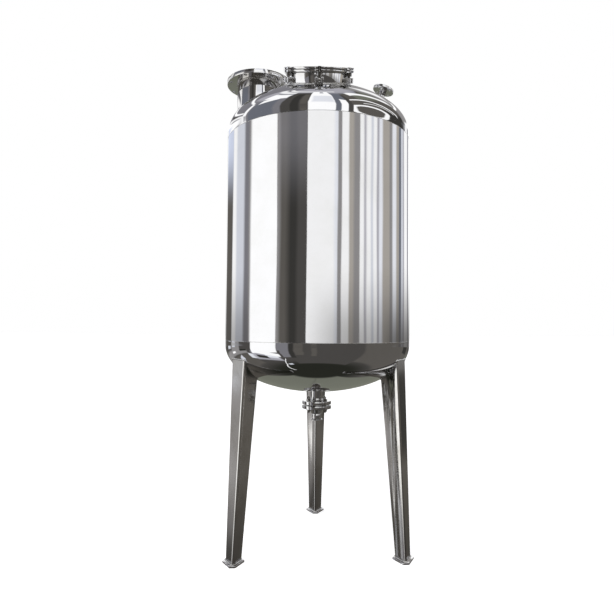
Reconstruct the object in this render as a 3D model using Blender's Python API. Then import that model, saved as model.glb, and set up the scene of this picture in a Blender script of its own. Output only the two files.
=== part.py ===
"""Vertical stainless steel storage tank on three legs.

Run it with: blender --background --python part.py
Units are metres, +Z is up, and the front of the tank faces -Y. The origin is on the floor, on
the tank's own centre line. Compass angles are counted from the front towards the tank's right
hand side, +X, so that 0 is the front, 90 is +X and 180 is the back.
"""

import math
from typing import NamedTuple

import bmesh
import bpy
from mathutils import Matrix, Vector

# Clearance kept between two solids that touch on the real tank.
GAP = 0.0003


class Head(NamedTuple):
    """A dished end: its girth seam, the way it bulges (1 up, -1 down) and its outside sizes.

    Its height is its straight flange plus its dish. A squareness of 2 makes an ellipse, and more
    than 2 a boxier knuckle.
    """

    seam: float
    way: int
    dish: float
    straight: float
    squareness: float


# Shell and heads, outside sizes.
TANK_RADIUS = 0.500
PLATE = 0.004
TOP = Head(seam=2.178, way=1, dish=0.230, straight=0.035, squareness=2.1)
BOTTOM = Head(seam=1.095, way=-1, dish=0.250, straight=0.025, squareness=2.0)
ROUND_STEPS = 64
DISH_STEPS = 10

# Manway: stands on the front of the head and leans forward, close to square with the head there.
MANWAY_X = -0.011
MANWAY_FORWARD = 0.297
MANWAY_LEAN = math.radians(23)
MANWAY_HEIGHT = 0.041
MANWAY_NECK_RADIUS = 0.157
MANWAY_RIM_RADIUS = 0.166
MANWAY_STEPS = 48
MANWAY_PLATE = 0.010
MANWAY_GASKET = 0.002
MANWAY_BOLT_CIRCLE = 0.171
MANWAY_BOLTS = 6
FIRST_BOLT = math.radians(-30)

# Ears of the manway's flange and cover, each open at its end for a swing bolt, and the lugs below.
EAR_REACH = 0.186
EAR_WIDTH = 0.044
EAR_SLOT = 0.014
SLOT_STEPS = 6
RIM_STEPS = 6
LUG_REACH = 0.184
LUG_ROOT = 0.005
LUG_WIDTH = 0.040
LUG_SLOT = 0.016
LUG_LOW = -0.006
LUG_HIGH = 0.018

# Inlet: the large open nozzle on the left.
INLET_X = -0.333
INLET_UNDERSIDE_Z = 2.507
INLET_RADIUS = 0.120
INLET_FLANGE_RADIUS = 0.176
INLET_FLANGE_PLATE = 0.022
INLET_FACE_RADIUS = 0.146
INLET_BOLT_CIRCLE = 0.160
INLET_BOLTS = 8
INLET_HOLE_RADIUS = 0.009
INLET_STEPS = 48

# Vent: the small nozzle on the right, leaning outwards.
VENT_X = 0.330
VENT_LEAN = math.radians(17)
VENT_LENGTH = 0.108
VENT_RADIUS = 0.019
VENT_WALL = 0.0025
VENT_FLANGE_RADIUS = 0.0585
VENT_FLANGE_PLATE = 0.012
VENT_FACE_RADIUS = 0.034
VENT_BOLT_CIRCLE = 0.0445
VENT_BOLTS = 4
VENT_HOLE_RADIUS = 0.006
VENT_STEPS = 24
VENT_FLANGE_STEPS = 36

# Bottom outlet, from the head down.
OUTLET_RADIUS = 0.036
OUTLET_WALL = 0.003
OUTLET_FLANGE_TOP_Z = 0.766
OUTLET_FLANGE_PLATE = 0.018
OUTLET_FLANGE_RADIUS = 0.079
OUTLET_GASKET = 0.0015
OUTLET_GASKET_RADIUS = 0.053
OUTLET_BOLT_CIRCLE = 0.0625
OUTLET_BOLTS = 4
OUTLET_HOLE_RADIUS = 0.007
HUB_TOP_RADIUS = 0.040
HUB_BOTTOM_RADIUS = 0.0285
HUB_HEIGHT = 0.028
STUB_RADIUS = 0.026
STUB_END_Z = 0.668
FERRULE_RADIUS = 0.032
FERRULE_HEIGHT = 0.008
OUTLET_PIPE_STEPS = 28
OUTLET_FLANGE_STEPS = 40

# Face of an open flange that stands proud round its bore.
RAISED_FACE = 0.002

# Legs: triangular tubes, flat side outwards, that taper and splay towards the floor. Each has its
# compass angle and the distance of its foot from the centre line.
LEGS = {"left": (-57.5, 0.492), "right": (62.5, 0.492), "back": (179, 0.487)}
LEG_TOP_REACH = 0.437
LEG_TOP_Z = 1.0
LEG_FOOT_SIDE = 0.0885
LEG_TOP_SIDE = 0.145
LEG_WALL = 0.004
LEG_BEND = 0.008
LEG_BEND_STEPS = 3
LEG_OVERRUN = 0.12
FOOT_PLATE_SIDE = 0.140
FOOT_PLATE_CLIP = 0.030
FOOT_PLATE_HEIGHT = 0.010

# How far cutters reach past the wall that they cut.
REACH = 0.15
HOLE_STEPS = 12
SHARP_ANGLE = math.radians(35)
MERGE = 1e-6


def clear_scene():
    """Empties the file of the objects that it starts with."""
    for thing in list(bpy.data.objects):
        bpy.data.objects.remove(thing)


def metal(name, colour, roughness):
    """A plain stainless steel finish."""
    material = bpy.data.materials.new(name)
    material.use_nodes = True
    shader = material.node_tree.nodes["Principled BSDF"]
    shader.inputs["Base Color"].default_value = (*colour, 1.0)
    shader.inputs["Metallic"].default_value = 1.0
    shader.inputs["Roughness"].default_value = roughness
    return material


def rubber(name):
    """Dark jointing sheet."""
    material = bpy.data.materials.new(name)
    material.use_nodes = True
    shader = material.node_tree.nodes["Principled BSDF"]
    shader.inputs["Base Color"].default_value = (0.03, 0.03, 0.03, 1.0)
    shader.inputs["Roughness"].default_value = 0.7
    return material


def finish(name, mesh_data, material, parent=None):
    """Turns a bmesh into a named object, shaded smooth except at its sharp edges."""
    bmesh.ops.remove_doubles(mesh_data, verts=mesh_data.verts, dist=MERGE)
    bmesh.ops.recalc_face_normals(mesh_data, faces=mesh_data.faces)
    mesh = bpy.data.meshes.new(name)
    mesh_data.to_mesh(mesh)
    mesh_data.free()
    mesh.shade_smooth()
    mesh.set_sharp_from_angle(angle=SHARP_ANGLE)
    thing = bpy.data.objects.new(name, mesh)
    bpy.context.scene.collection.objects.link(thing)
    if material is not None:
        mesh.materials.append(material)
    if parent is not None:
        thing.parent = parent
    return thing


def turned(outline, closed, steps=ROUND_STEPS):
    """A bmesh made by turning an outline of (radius, height) points about the Z axis."""
    mesh_data = bmesh.new()
    verts = [mesh_data.verts.new((radius, 0.0, height)) for radius, height in outline]
    pairs = list(zip(verts, verts[1:]))
    if closed:
        pairs.append((verts[-1], verts[0]))
    edges = [mesh_data.edges.new(pair) for pair in pairs]
    bmesh.ops.spin(
        mesh_data,
        geom=verts + edges,
        cent=(0, 0, 0),
        axis=(0, 0, 1),
        angle=math.tau,
        steps=steps,
        use_merge=True,
    )
    return mesh_data


def ring_outline(inner, outer, low, high):
    """The cross-section of a plain ring or tube."""
    return [(inner, low), (outer, low), (outer, high), (inner, high)]


def cylinders(radius, low, high, centres, steps):
    """A bmesh of upright cylinders, one at each (x, y) centre."""
    mesh_data = bmesh.new()
    for x, y in centres:
        place = Matrix.Translation((x, y, (low + high) / 2))
        bmesh.ops.create_cone(
            mesh_data,
            cap_ends=True,
            segments=steps,
            radius1=radius,
            radius2=radius,
            depth=high - low,
            matrix=place,
        )
    return mesh_data


def cutter(name, mesh_data, parent=None):
    """A helper that only takes material away."""
    thing = finish(name, mesh_data, None, parent)
    thing.hide_render = True
    thing.display_type = "WIRE"
    return thing


def cut(thing, tool):
    """Takes a cutter's shape out of an object."""
    modifier = thing.modifiers.new(tool.name, "BOOLEAN")
    modifier.operation = "DIFFERENCE"
    modifier.solver = "EXACT"
    modifier.object = tool


def circle_points(radius, count, first_turn):
    """Points spread evenly round a circle, starting a share of one step from +X."""
    step = math.tau / count
    turns = [step * (first_turn + index) for index in range(count)]
    return [(radius * math.cos(turn), radius * math.sin(turn)) for turn in turns]


def stand(name, place, lean_axis=None, lean=0.0):
    """An empty that carries the pieces of one nozzle or leg."""
    empty = bpy.data.objects.new(name, None)
    bpy.context.scene.collection.objects.link(empty)
    turn = Matrix.Rotation(lean, 4, lean_axis) if lean_axis else Matrix.Identity(4)
    empty.matrix_world = Matrix.Translation(place) @ turn
    return empty


def dish_curve(head, offset):
    """(radius, height) points of a head's surface moved out by an offset, from rim to crown."""
    radius = TANK_RADIUS + offset
    dish = head.dish + offset
    power = 2 / head.squareness
    curve = [(radius, 0.0)]
    for index in range(DISH_STEPS):
        turn = math.pi / 2 * index / DISH_STEPS
        across = radius * math.cos(turn) ** power
        curve.append((across, head.straight + dish * math.sin(turn) ** power))
    curve.append((0.0, head.straight + dish))
    return curve


def top_head_height(across):
    """Height above the floor of the top head's surface at a distance from the centre line."""
    share = 1 - (across / TANK_RADIUS) ** TOP.squareness
    return TOP.seam + TOP.straight + TOP.dish * share ** (1 / TOP.squareness)


def head_outline(head):
    """The cross-section of a head's plate, from the crown down outside and back up inside."""
    curve = dish_curve(head, 0.0)[::-1] + dish_curve(head, -PLATE)
    return [(across, head.seam + head.way * (GAP / 2 + height)) for across, height in curve]


def dome(head, offset):
    """A bmesh of a solid dome whose surface lies an offset outside a head's outer one."""
    back = head.seam - head.way * REACH
    points = [(across, head.seam + head.way * height) for across, height in dish_curve(head, offset)]
    return turned([(0.0, back), (TANK_RADIUS + offset, back)] + points, closed=False)


def make_shell(material):
    """The rolled cylinder between the two girth seams."""
    low = BOTTOM.seam + GAP / 2
    high = TOP.seam - GAP / 2
    outline = ring_outline(TANK_RADIUS - PLATE, TANK_RADIUS, low, high)
    return finish("shell", turned(outline, closed=True), material)


def make_top_head(material):
    """The top dished end, before its holes."""
    return finish("top_head", turned(head_outline(TOP), closed=False), material)


def make_bottom_head(material):
    """The bottom dished end, with the hole for the outlet neck."""
    head = finish("bottom_head", turned(head_outline(BOTTOM), closed=False), material)
    low = BOTTOM.seam - BOTTOM.straight - BOTTOM.dish - REACH
    hole = cylinders(OUTLET_RADIUS + GAP, low, BOTTOM.seam, [(0, 0)], OUTLET_PIPE_STEPS)
    cut(head, cutter("outlet_hole", hole))


def make_neck(name, head, inside, radius, wall, top, steps, material, parent):
    """A nozzle's pipe, cut off at the head's inner face, and its hole in the head."""
    outline = ring_outline(radius - wall, radius, -REACH, top)
    neck = finish(name, turned(outline, closed=True, steps=steps), material, parent)
    cut(neck, inside)
    hole = cylinders(radius + GAP, -REACH, REACH, [(0, 0)], steps)
    cut(head, cutter(f"{name}_hole", hole, parent))
    return neck


def raised_flange_outline(bore, face, rim, low, plate, way):
    """A flange's cross-section, with its raised face above the plate for way 1 or below for -1."""
    near, far = low, low + plate
    face_z = far + RAISED_FACE
    if way < 0:
        near, far = low + plate + RAISED_FACE, low + RAISED_FACE
        face_z = low
    return [(bore, near), (rim, near), (rim, far), (face, far), (face, face_z), (bore, face_z)]


def bolt_hole_cutter(name, radius, circle, count, level, parent=None):
    """A cutter for a flange's bolt holes, which straddle its centre lines, round about a level."""
    centres = circle_points(circle, count, 0.5)
    holes = cylinders(radius, level - REACH, level + REACH, centres, HOLE_STEPS)
    return cutter(name, holes, parent)


def eared_plate(low, high):
    """A bmesh of a round plate with an ear at each swing bolt, slotted from its end."""
    step = math.tau / MANWAY_BOLTS
    ear_turn = math.asin(EAR_WIDTH / 2 / MANWAY_RIM_RADIUS)
    half_slot = EAR_SLOT / 2
    points = []
    for index in range(MANWAY_BOLTS):
        spin = Matrix.Rotation(FIRST_BOLT + step * index, 2)
        ear = [(EAR_REACH, -EAR_WIDTH / 2), (EAR_REACH, -half_slot)]
        for share in range(SLOT_STEPS + 1):
            turn = -math.pi / 2 - math.pi * share / SLOT_STEPS
            ear.append((MANWAY_BOLT_CIRCLE + half_slot * math.cos(turn), half_slot * math.sin(turn)))
        ear += [(EAR_REACH, half_slot), (EAR_REACH, EAR_WIDTH / 2)]
        for share in range(RIM_STEPS + 1):
            turn = ear_turn + (step - 2 * ear_turn) * share / RIM_STEPS
            ear.append((MANWAY_RIM_RADIUS * math.cos(turn), MANWAY_RIM_RADIUS * math.sin(turn)))
        points += [spin @ Vector(point) for point in ear]
    mesh_data = bmesh.new()
    face = mesh_data.faces.new([mesh_data.verts.new((x, y, low)) for x, y in points])
    raise_face(mesh_data, face, high - low)
    return mesh_data


def raise_face(mesh_data, face, height):
    """Turns one flat face into a plate of a height."""
    raised = bmesh.ops.extrude_face_region(mesh_data, geom=[face])["geom"]
    lifted = [item for item in raised if isinstance(item, bmesh.types.BMVert)]
    bmesh.ops.translate(mesh_data, verts=lifted, vec=(0, 0, height))


def make_manway(head, inside, steel, gasket_rubber):
    """The round manway with its blind cover and the lugs of its swing bolts."""
    foot_z = top_head_height(math.hypot(MANWAY_X, MANWAY_FORWARD))
    foot = Vector((MANWAY_X, -MANWAY_FORWARD, foot_z))
    parent = stand("manway", foot, "X", MANWAY_LEAN)
    bore = MANWAY_NECK_RADIUS - PLATE
    top = MANWAY_HEIGHT - GAP
    make_neck("manway_neck", head, inside, MANWAY_NECK_RADIUS, PLATE, top, MANWAY_STEPS, steel, parent)
    flange_top = MANWAY_HEIGHT + MANWAY_PLATE
    flange = finish("manway_flange", eared_plate(MANWAY_HEIGHT, flange_top), steel, parent)
    way_in = cylinders(bore, -REACH, REACH, [(0, 0)], MANWAY_STEPS)
    cut(flange, cutter("manway_flange_bore", way_in, parent))
    gasket_low = flange_top + GAP
    gasket_rim = MANWAY_BOLT_CIRCLE - EAR_SLOT / 2 - GAP
    outline = ring_outline(bore, gasket_rim, gasket_low, gasket_low + MANWAY_GASKET)
    finish("manway_gasket", turned(outline, closed=True, steps=MANWAY_STEPS), gasket_rubber, parent)
    cover_low = gasket_low + MANWAY_GASKET + GAP
    finish("manway_cover", eared_plate(cover_low, cover_low + MANWAY_PLATE), steel, parent)
    make_manway_lugs(steel, parent)


def make_manway_lugs(material, parent):
    """Forked lugs on the manway neck, one under each swing bolt."""
    seat = cylinders(MANWAY_NECK_RADIUS + GAP, LUG_LOW - REACH, LUG_HIGH + REACH, [(0, 0)], MANWAY_STEPS)
    seat_tool = cutter("manway_lug_seat", seat, parent)
    root = MANWAY_NECK_RADIUS - LUG_ROOT
    slot_start = MANWAY_BOLT_CIRCLE - LUG_SLOT / 2
    for index in range(MANWAY_BOLTS):
        spin = Matrix.Rotation(FIRST_BOLT + math.tau * index / MANWAY_BOLTS, 4, "Z")
        block = box(root, LUG_REACH, LUG_WIDTH, LUG_LOW, LUG_HIGH, spin)
        lug = finish(f"manway_lug_{index + 1}", block, material, parent)
        slot = box(slot_start, LUG_REACH + REACH, LUG_SLOT, LUG_LOW - REACH, LUG_HIGH + REACH, spin)
        cut(lug, seat_tool)
        cut(lug, cutter(f"manway_lug_slot_{index + 1}", slot, parent))


def box(near, far, width, low, high, spin):
    """A bmesh block between two distances along X, centred on Y, then turned by spin."""
    mesh_data = bmesh.new()
    size = Matrix.Diagonal((far - near, width, high - low, 1))
    place = Matrix.Translation(((near + far) / 2, 0, (low + high) / 2))
    bmesh.ops.create_cube(mesh_data, size=1.0, matrix=spin @ place @ size)
    return mesh_data


def make_inlet(head, inside, material):
    """The large upright nozzle with its open flange."""
    foot_z = top_head_height(-INLET_X)
    parent = stand("inlet", Vector((INLET_X, 0, foot_z)))
    underside = INLET_UNDERSIDE_Z - foot_z
    face_z = underside + INLET_FLANGE_PLATE + RAISED_FACE
    neck_top = face_z - PLATE
    make_neck("inlet_neck", head, inside, INLET_RADIUS, PLATE, neck_top, INLET_STEPS, material, parent)
    outline = raised_flange_outline(
        INLET_RADIUS + GAP, INLET_FACE_RADIUS, INLET_FLANGE_RADIUS, underside, INLET_FLANGE_PLATE, 1
    )
    flange = finish("inlet_flange", turned(outline, closed=True, steps=INLET_STEPS), material, parent)
    cut(
        flange,
        bolt_hole_cutter(
            "inlet_bolt_holes", INLET_HOLE_RADIUS, INLET_BOLT_CIRCLE, INLET_BOLTS, underside, parent
        ),
    )


def make_vent(head, inside, material):
    """The small nozzle with its open flange."""
    foot = Vector((VENT_X, 0, top_head_height(VENT_X)))
    parent = stand("vent", foot, "Y", VENT_LEAN)
    face_z = VENT_LENGTH + VENT_FLANGE_PLATE + RAISED_FACE
    neck_top = face_z - RAISED_FACE
    make_neck("vent_neck", head, inside, VENT_RADIUS, VENT_WALL, neck_top, VENT_STEPS, material, parent)
    outline = raised_flange_outline(
        VENT_RADIUS + GAP, VENT_FACE_RADIUS, VENT_FLANGE_RADIUS, VENT_LENGTH, VENT_FLANGE_PLATE, 1
    )
    flange = finish("vent_flange", turned(outline, closed=True, steps=VENT_FLANGE_STEPS), material, parent)
    cut(
        flange,
        bolt_hole_cutter(
            "vent_bolt_holes", VENT_HOLE_RADIUS, VENT_BOLT_CIRCLE, VENT_BOLTS, VENT_LENGTH, parent
        ),
    )


def make_outlet(inside, steel, gasket_rubber):
    """The bottom outlet: neck, bolted pair of flanges, stub pipe and its end ferrule."""
    bore = OUTLET_RADIUS - OUTLET_WALL
    face_low = OUTLET_FLANGE_TOP_Z - OUTLET_FLANGE_PLATE - RAISED_FACE
    outline = ring_outline(bore, OUTLET_RADIUS, face_low + RAISED_FACE, BOTTOM.seam - REACH)
    neck = finish("outlet_neck", turned(outline, closed=True, steps=OUTLET_PIPE_STEPS), steel)
    cut(neck, inside)
    outline = raised_flange_outline(
        OUTLET_RADIUS + GAP, OUTLET_GASKET_RADIUS, OUTLET_FLANGE_RADIUS, face_low, OUTLET_FLANGE_PLATE, -1
    )
    upper = finish("outlet_flange", turned(outline, closed=True, steps=OUTLET_FLANGE_STEPS), steel)
    gasket_top = face_low - GAP
    gasket_low = gasket_top - OUTLET_GASKET
    outline = ring_outline(bore, OUTLET_GASKET_RADIUS, gasket_low, gasket_top)
    finish("outlet_gasket", turned(outline, closed=True, steps=OUTLET_FLANGE_STEPS), gasket_rubber)
    companion_top = gasket_low - GAP
    companion = make_companion_flange(companion_top, steel)
    tool = bolt_hole_cutter(
        "outlet_bolt_holes", OUTLET_HOLE_RADIUS, OUTLET_BOLT_CIRCLE, OUTLET_BOLTS, face_low
    )
    cut(upper, tool)
    cut(companion, tool)
    stub_bore = STUB_RADIUS - OUTLET_WALL
    stub_top = companion_top - RAISED_FACE - OUTLET_FLANGE_PLATE - HUB_HEIGHT - GAP
    outline = ring_outline(stub_bore, STUB_RADIUS, STUB_END_Z, stub_top)
    finish("outlet_stub", turned(outline, closed=True, steps=OUTLET_PIPE_STEPS), steel)
    ferrule_top = STUB_END_Z - GAP
    outline = ring_outline(stub_bore, FERRULE_RADIUS, ferrule_top - FERRULE_HEIGHT, ferrule_top)
    finish("outlet_ferrule", turned(outline, closed=True, steps=OUTLET_PIPE_STEPS), steel)


def make_companion_flange(top, material):
    """The lower flange of the pair, with the hub that narrows to the stub pipe."""
    bore = STUB_RADIUS - OUTLET_WALL
    plate_top = top - RAISED_FACE
    plate_low = plate_top - OUTLET_FLANGE_PLATE
    hub_low = plate_low - HUB_HEIGHT
    outline = [
        (bore, hub_low),
        (HUB_BOTTOM_RADIUS, hub_low),
        (HUB_TOP_RADIUS, plate_low),
        (OUTLET_FLANGE_RADIUS, plate_low),
        (OUTLET_FLANGE_RADIUS, plate_top),
        (OUTLET_GASKET_RADIUS, plate_top),
        (OUTLET_GASKET_RADIUS, top),
        (bore, top),
    ]
    flange = turned(outline, closed=True, steps=OUTLET_FLANGE_STEPS)
    return finish("outlet_companion_flange", flange, material)


def rounded_triangle(side, bend):
    """Points of an equal-sided triangle with round corners and a flat side towards +X."""
    corner_reach = side / math.sqrt(3) - 2 * bend
    points = []
    for corner in (60, 180, 300):
        heading = math.radians(corner)
        for index in range(LEG_BEND_STEPS + 1):
            turn = heading + math.radians(-60 + 120 * index / LEG_BEND_STEPS)
            x = corner_reach * math.cos(heading) + bend * math.cos(turn)
            y = corner_reach * math.sin(heading) + bend * math.sin(turn)
            points.append((x, y))
    return points


def level_verts(mesh_data, points, shift, height):
    """Vertices for an outline at one height, moved along X by shift."""
    return [mesh_data.verts.new((x + shift, y, height)) for x, y in points]


def band(mesh_data, first, second):
    """Faces between two outlines that have the same number of points."""
    for index in range(len(first)):
        mesh_data.faces.new((first[index - 1], first[index], second[index], second[index - 1]))


def leg_mesh(foot_reach):
    """A tapered triangular tube that leans towards the tank, with +X pointing outwards."""
    mesh_data = bmesh.new()
    levels = []
    for height in (FOOT_PLATE_HEIGHT + GAP, LEG_TOP_Z + LEG_OVERRUN):
        share = height / LEG_TOP_Z
        side = LEG_FOOT_SIDE + (LEG_TOP_SIDE - LEG_FOOT_SIDE) * share
        shift = (LEG_TOP_REACH - foot_reach) * share
        outside = rounded_triangle(side, LEG_BEND)
        hollow = rounded_triangle(side - 2 * math.sqrt(3) * LEG_WALL, LEG_BEND - LEG_WALL)
        levels.append(level_verts(mesh_data, outside, shift, height))
        levels.append(level_verts(mesh_data, hollow, shift, height))
    foot_outside, foot_hollow, top_outside, top_hollow = levels
    band(mesh_data, foot_outside, top_outside)
    band(mesh_data, top_outside, top_hollow)
    band(mesh_data, top_hollow, foot_hollow)
    band(mesh_data, foot_hollow, foot_outside)
    return mesh_data


def foot_plate_mesh():
    """A thin triangular plate with clipped corners and a flat side towards +X."""
    reach = FOOT_PLATE_SIDE / math.sqrt(3)
    corners = [
        Vector((reach * math.cos(turn), reach * math.sin(turn), 0))
        for turn in (math.radians(60), math.radians(180), math.radians(300))
    ]
    mesh_data = bmesh.new()
    verts = []
    share = FOOT_PLATE_CLIP / FOOT_PLATE_SIDE
    for index, corner in enumerate(corners):
        before, after = corners[index - 1], corners[(index + 1) % 3]
        verts.append(mesh_data.verts.new(corner.lerp(before, share)))
        verts.append(mesh_data.verts.new(corner.lerp(after, share)))
    raise_face(mesh_data, mesh_data.faces.new(verts), FOOT_PLATE_HEIGHT)
    return mesh_data


def make_legs(material):
    """Three legs, cut to the bottom head, each on its foot plate."""
    head_shape = cutter("bottom_head_shape", dome(BOTTOM, GAP))
    for name, (compass, foot_reach) in LEGS.items():
        heading = math.radians(compass - 90)
        place = Vector((math.cos(heading), math.sin(heading), 0)) * foot_reach
        parent = stand(f"{name}_leg_stand", place, "Z", heading)
        leg = finish(f"leg_{name}", leg_mesh(foot_reach), material, parent)
        cut(leg, head_shape)
        finish(f"foot_plate_{name}", foot_plate_mesh(), material, parent)


def main():
    """Builds the tank."""
    clear_scene()
    polished = metal("polished stainless", (0.62, 0.62, 0.63), 0.08)
    brushed = metal("brushed stainless", (0.66, 0.66, 0.66), 0.2)
    machined = metal("machined stainless", (0.55, 0.55, 0.54), 0.28)
    jointing = rubber("jointing")
    make_shell(brushed)
    top_head = make_top_head(polished)
    make_bottom_head(polished)
    top_inside = cutter("top_inside", dome(TOP, -PLATE))
    bottom_inside = cutter("bottom_inside", dome(BOTTOM, -PLATE))
    make_manway(top_head, top_inside, machined, jointing)
    make_inlet(top_head, top_inside, machined)
    make_vent(top_head, top_inside, machined)
    make_outlet(bottom_inside, machined, jointing)
    make_legs(polished)


if __name__ == "__main__":
    main()
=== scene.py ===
"""Looks of a vertical stainless steel storage tank on three legs.

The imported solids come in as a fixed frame. Every round piece is turned again here with many more
steps, because its polished steel mirrors the studio, and the small pieces that the solids leave out
are added: weld beads, bolts, nuts and washers. Units are metres, +Z is up and the front faces -Y.
"""

import logging
import math
from collections.abc import Iterable, Sequence
from dataclasses import dataclass, field
from enum import Enum

import bmesh
import bpy
from mathutils import Matrix, Vector


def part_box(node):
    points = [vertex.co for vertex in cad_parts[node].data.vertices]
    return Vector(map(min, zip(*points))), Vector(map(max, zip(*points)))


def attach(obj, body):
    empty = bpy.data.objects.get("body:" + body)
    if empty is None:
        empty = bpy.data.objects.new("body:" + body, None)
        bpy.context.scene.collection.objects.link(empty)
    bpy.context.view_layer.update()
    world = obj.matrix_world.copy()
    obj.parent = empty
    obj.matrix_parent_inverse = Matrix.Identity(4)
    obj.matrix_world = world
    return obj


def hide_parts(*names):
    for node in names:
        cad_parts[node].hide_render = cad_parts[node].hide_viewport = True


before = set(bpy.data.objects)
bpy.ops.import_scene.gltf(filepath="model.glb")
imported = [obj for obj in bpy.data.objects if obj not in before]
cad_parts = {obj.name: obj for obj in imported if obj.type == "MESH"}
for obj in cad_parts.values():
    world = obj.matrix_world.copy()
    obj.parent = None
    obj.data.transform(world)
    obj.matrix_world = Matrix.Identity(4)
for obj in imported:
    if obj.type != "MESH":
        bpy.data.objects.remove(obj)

LOG = logging.getLogger("storage_tank")
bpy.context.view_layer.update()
BODY = "root"
TINY = 1e-6
GAP = 0.0003
SHEET_EASE = 0.0003
FULL_TURN = math.tau
HALVINGS = 40

Point2 = tuple[float, float]
Colour = tuple[float, float, float]


class Grain(Enum):
    """How a steel surface was worked."""

    MIRROR = "mirror"
    TURNED = "turned"
    DRAWN = "drawn"
    WELD = "weld"


def linear(level: float) -> float:
    """The linear light of a display level.

    Args:
        level: A tone from 0 to 255 as a screen shows it.

    Returns:
        The same tone as linear light, where 1 is white.
    """
    share = level / 255
    return share / 12.92 if share <= 0.04045 else ((share + 0.055) / 1.055) ** 2.4


def tone(red: float, green: float, blue: float) -> Colour:
    """A colour from three display levels.

    Args:
        red: Level from 0 to 255.
        green: Level from 0 to 255.
        blue: Level from 0 to 255.

    Returns:
        Linear red, green and blue.
    """
    return (linear(red), linear(green), linear(blue))


class NodeDesk:
    """Adds and joins shader nodes in one tree."""

    def __init__(self, tree: bpy.types.NodeTree) -> None:
        """Starts from an empty tree.

        Args:
            tree: The node tree of a material or of the world.
        """
        self.tree = tree
        tree.nodes.clear()

    def add(self, kind: str, settings: dict | None = None, **inputs: object) -> bpy.types.Node:
        """Adds a node.

        Args:
            kind: The node's type name after "ShaderNode".
            settings: Properties of the node itself.
            **inputs: Values or sockets for its inputs, with "_" for a space in a name.

        Returns:
            The new node.
        """
        node = self.tree.nodes.new(f"ShaderNode{kind}")
        for key, value in (settings or {}).items():
            setattr(node, key, value)
        for key, value in inputs.items():
            self.plug(node, key.replace("_", " "), value)
        return node

    def plug(self, node: bpy.types.Node, key: str | int, value: object) -> None:
        """Sets one input of a node, or links a socket to it.

        Args:
            node: The node that takes the value.
            key: The input's name or its index.
            value: A constant, or an output socket.
        """
        if isinstance(value, bpy.types.NodeSocket):
            self.tree.links.new(value, node.inputs[key])
        else:
            node.inputs[key].default_value = value

    def sums(self, operation: str, *values: object) -> bpy.types.NodeSocket:
        """A Math node.

        Args:
            operation: The sum that it does, such as "ADD".
            *values: Constants or sockets, in order.

        Returns:
            Its output.
        """
        node = self.add("Math", {"operation": operation})
        for index, value in enumerate(values):
            self.plug(node, index, value)
        return node.outputs[0]

    def rescale(
        self, value: object, old_low: object, old_high: object, new_low: float, new_high: float
    ) -> bpy.types.NodeSocket:
        """A clamped smooth Map Range.

        Args:
            value: What is mapped.
            old_low: Start of the range that is read.
            old_high: End of the range that is read.
            new_low: What the start becomes.
            new_high: What the end becomes.

        Returns:
            The mapped value.
        """
        node = self.add("MapRange", {"interpolation_type": "SMOOTHSTEP"})
        for index, part in enumerate((value, old_low, old_high, new_low, new_high)):
            self.plug(node, index, part)
        return node.outputs[0]

    def mix(self, factor: object, first: object, second: object) -> bpy.types.NodeSocket:
        """Mixes two colours.

        Args:
            factor: Share of the second.
            first: A colour with alpha or a socket.
            second: A colour with alpha or a socket.

        Returns:
            The mixed colour.
        """
        node = self.add("Mix", {"data_type": "RGBA"})
        self.plug(node, 0, factor)
        self.plug(node, 6, first)
        self.plug(node, 7, second)
        return node.outputs[2]


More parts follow.
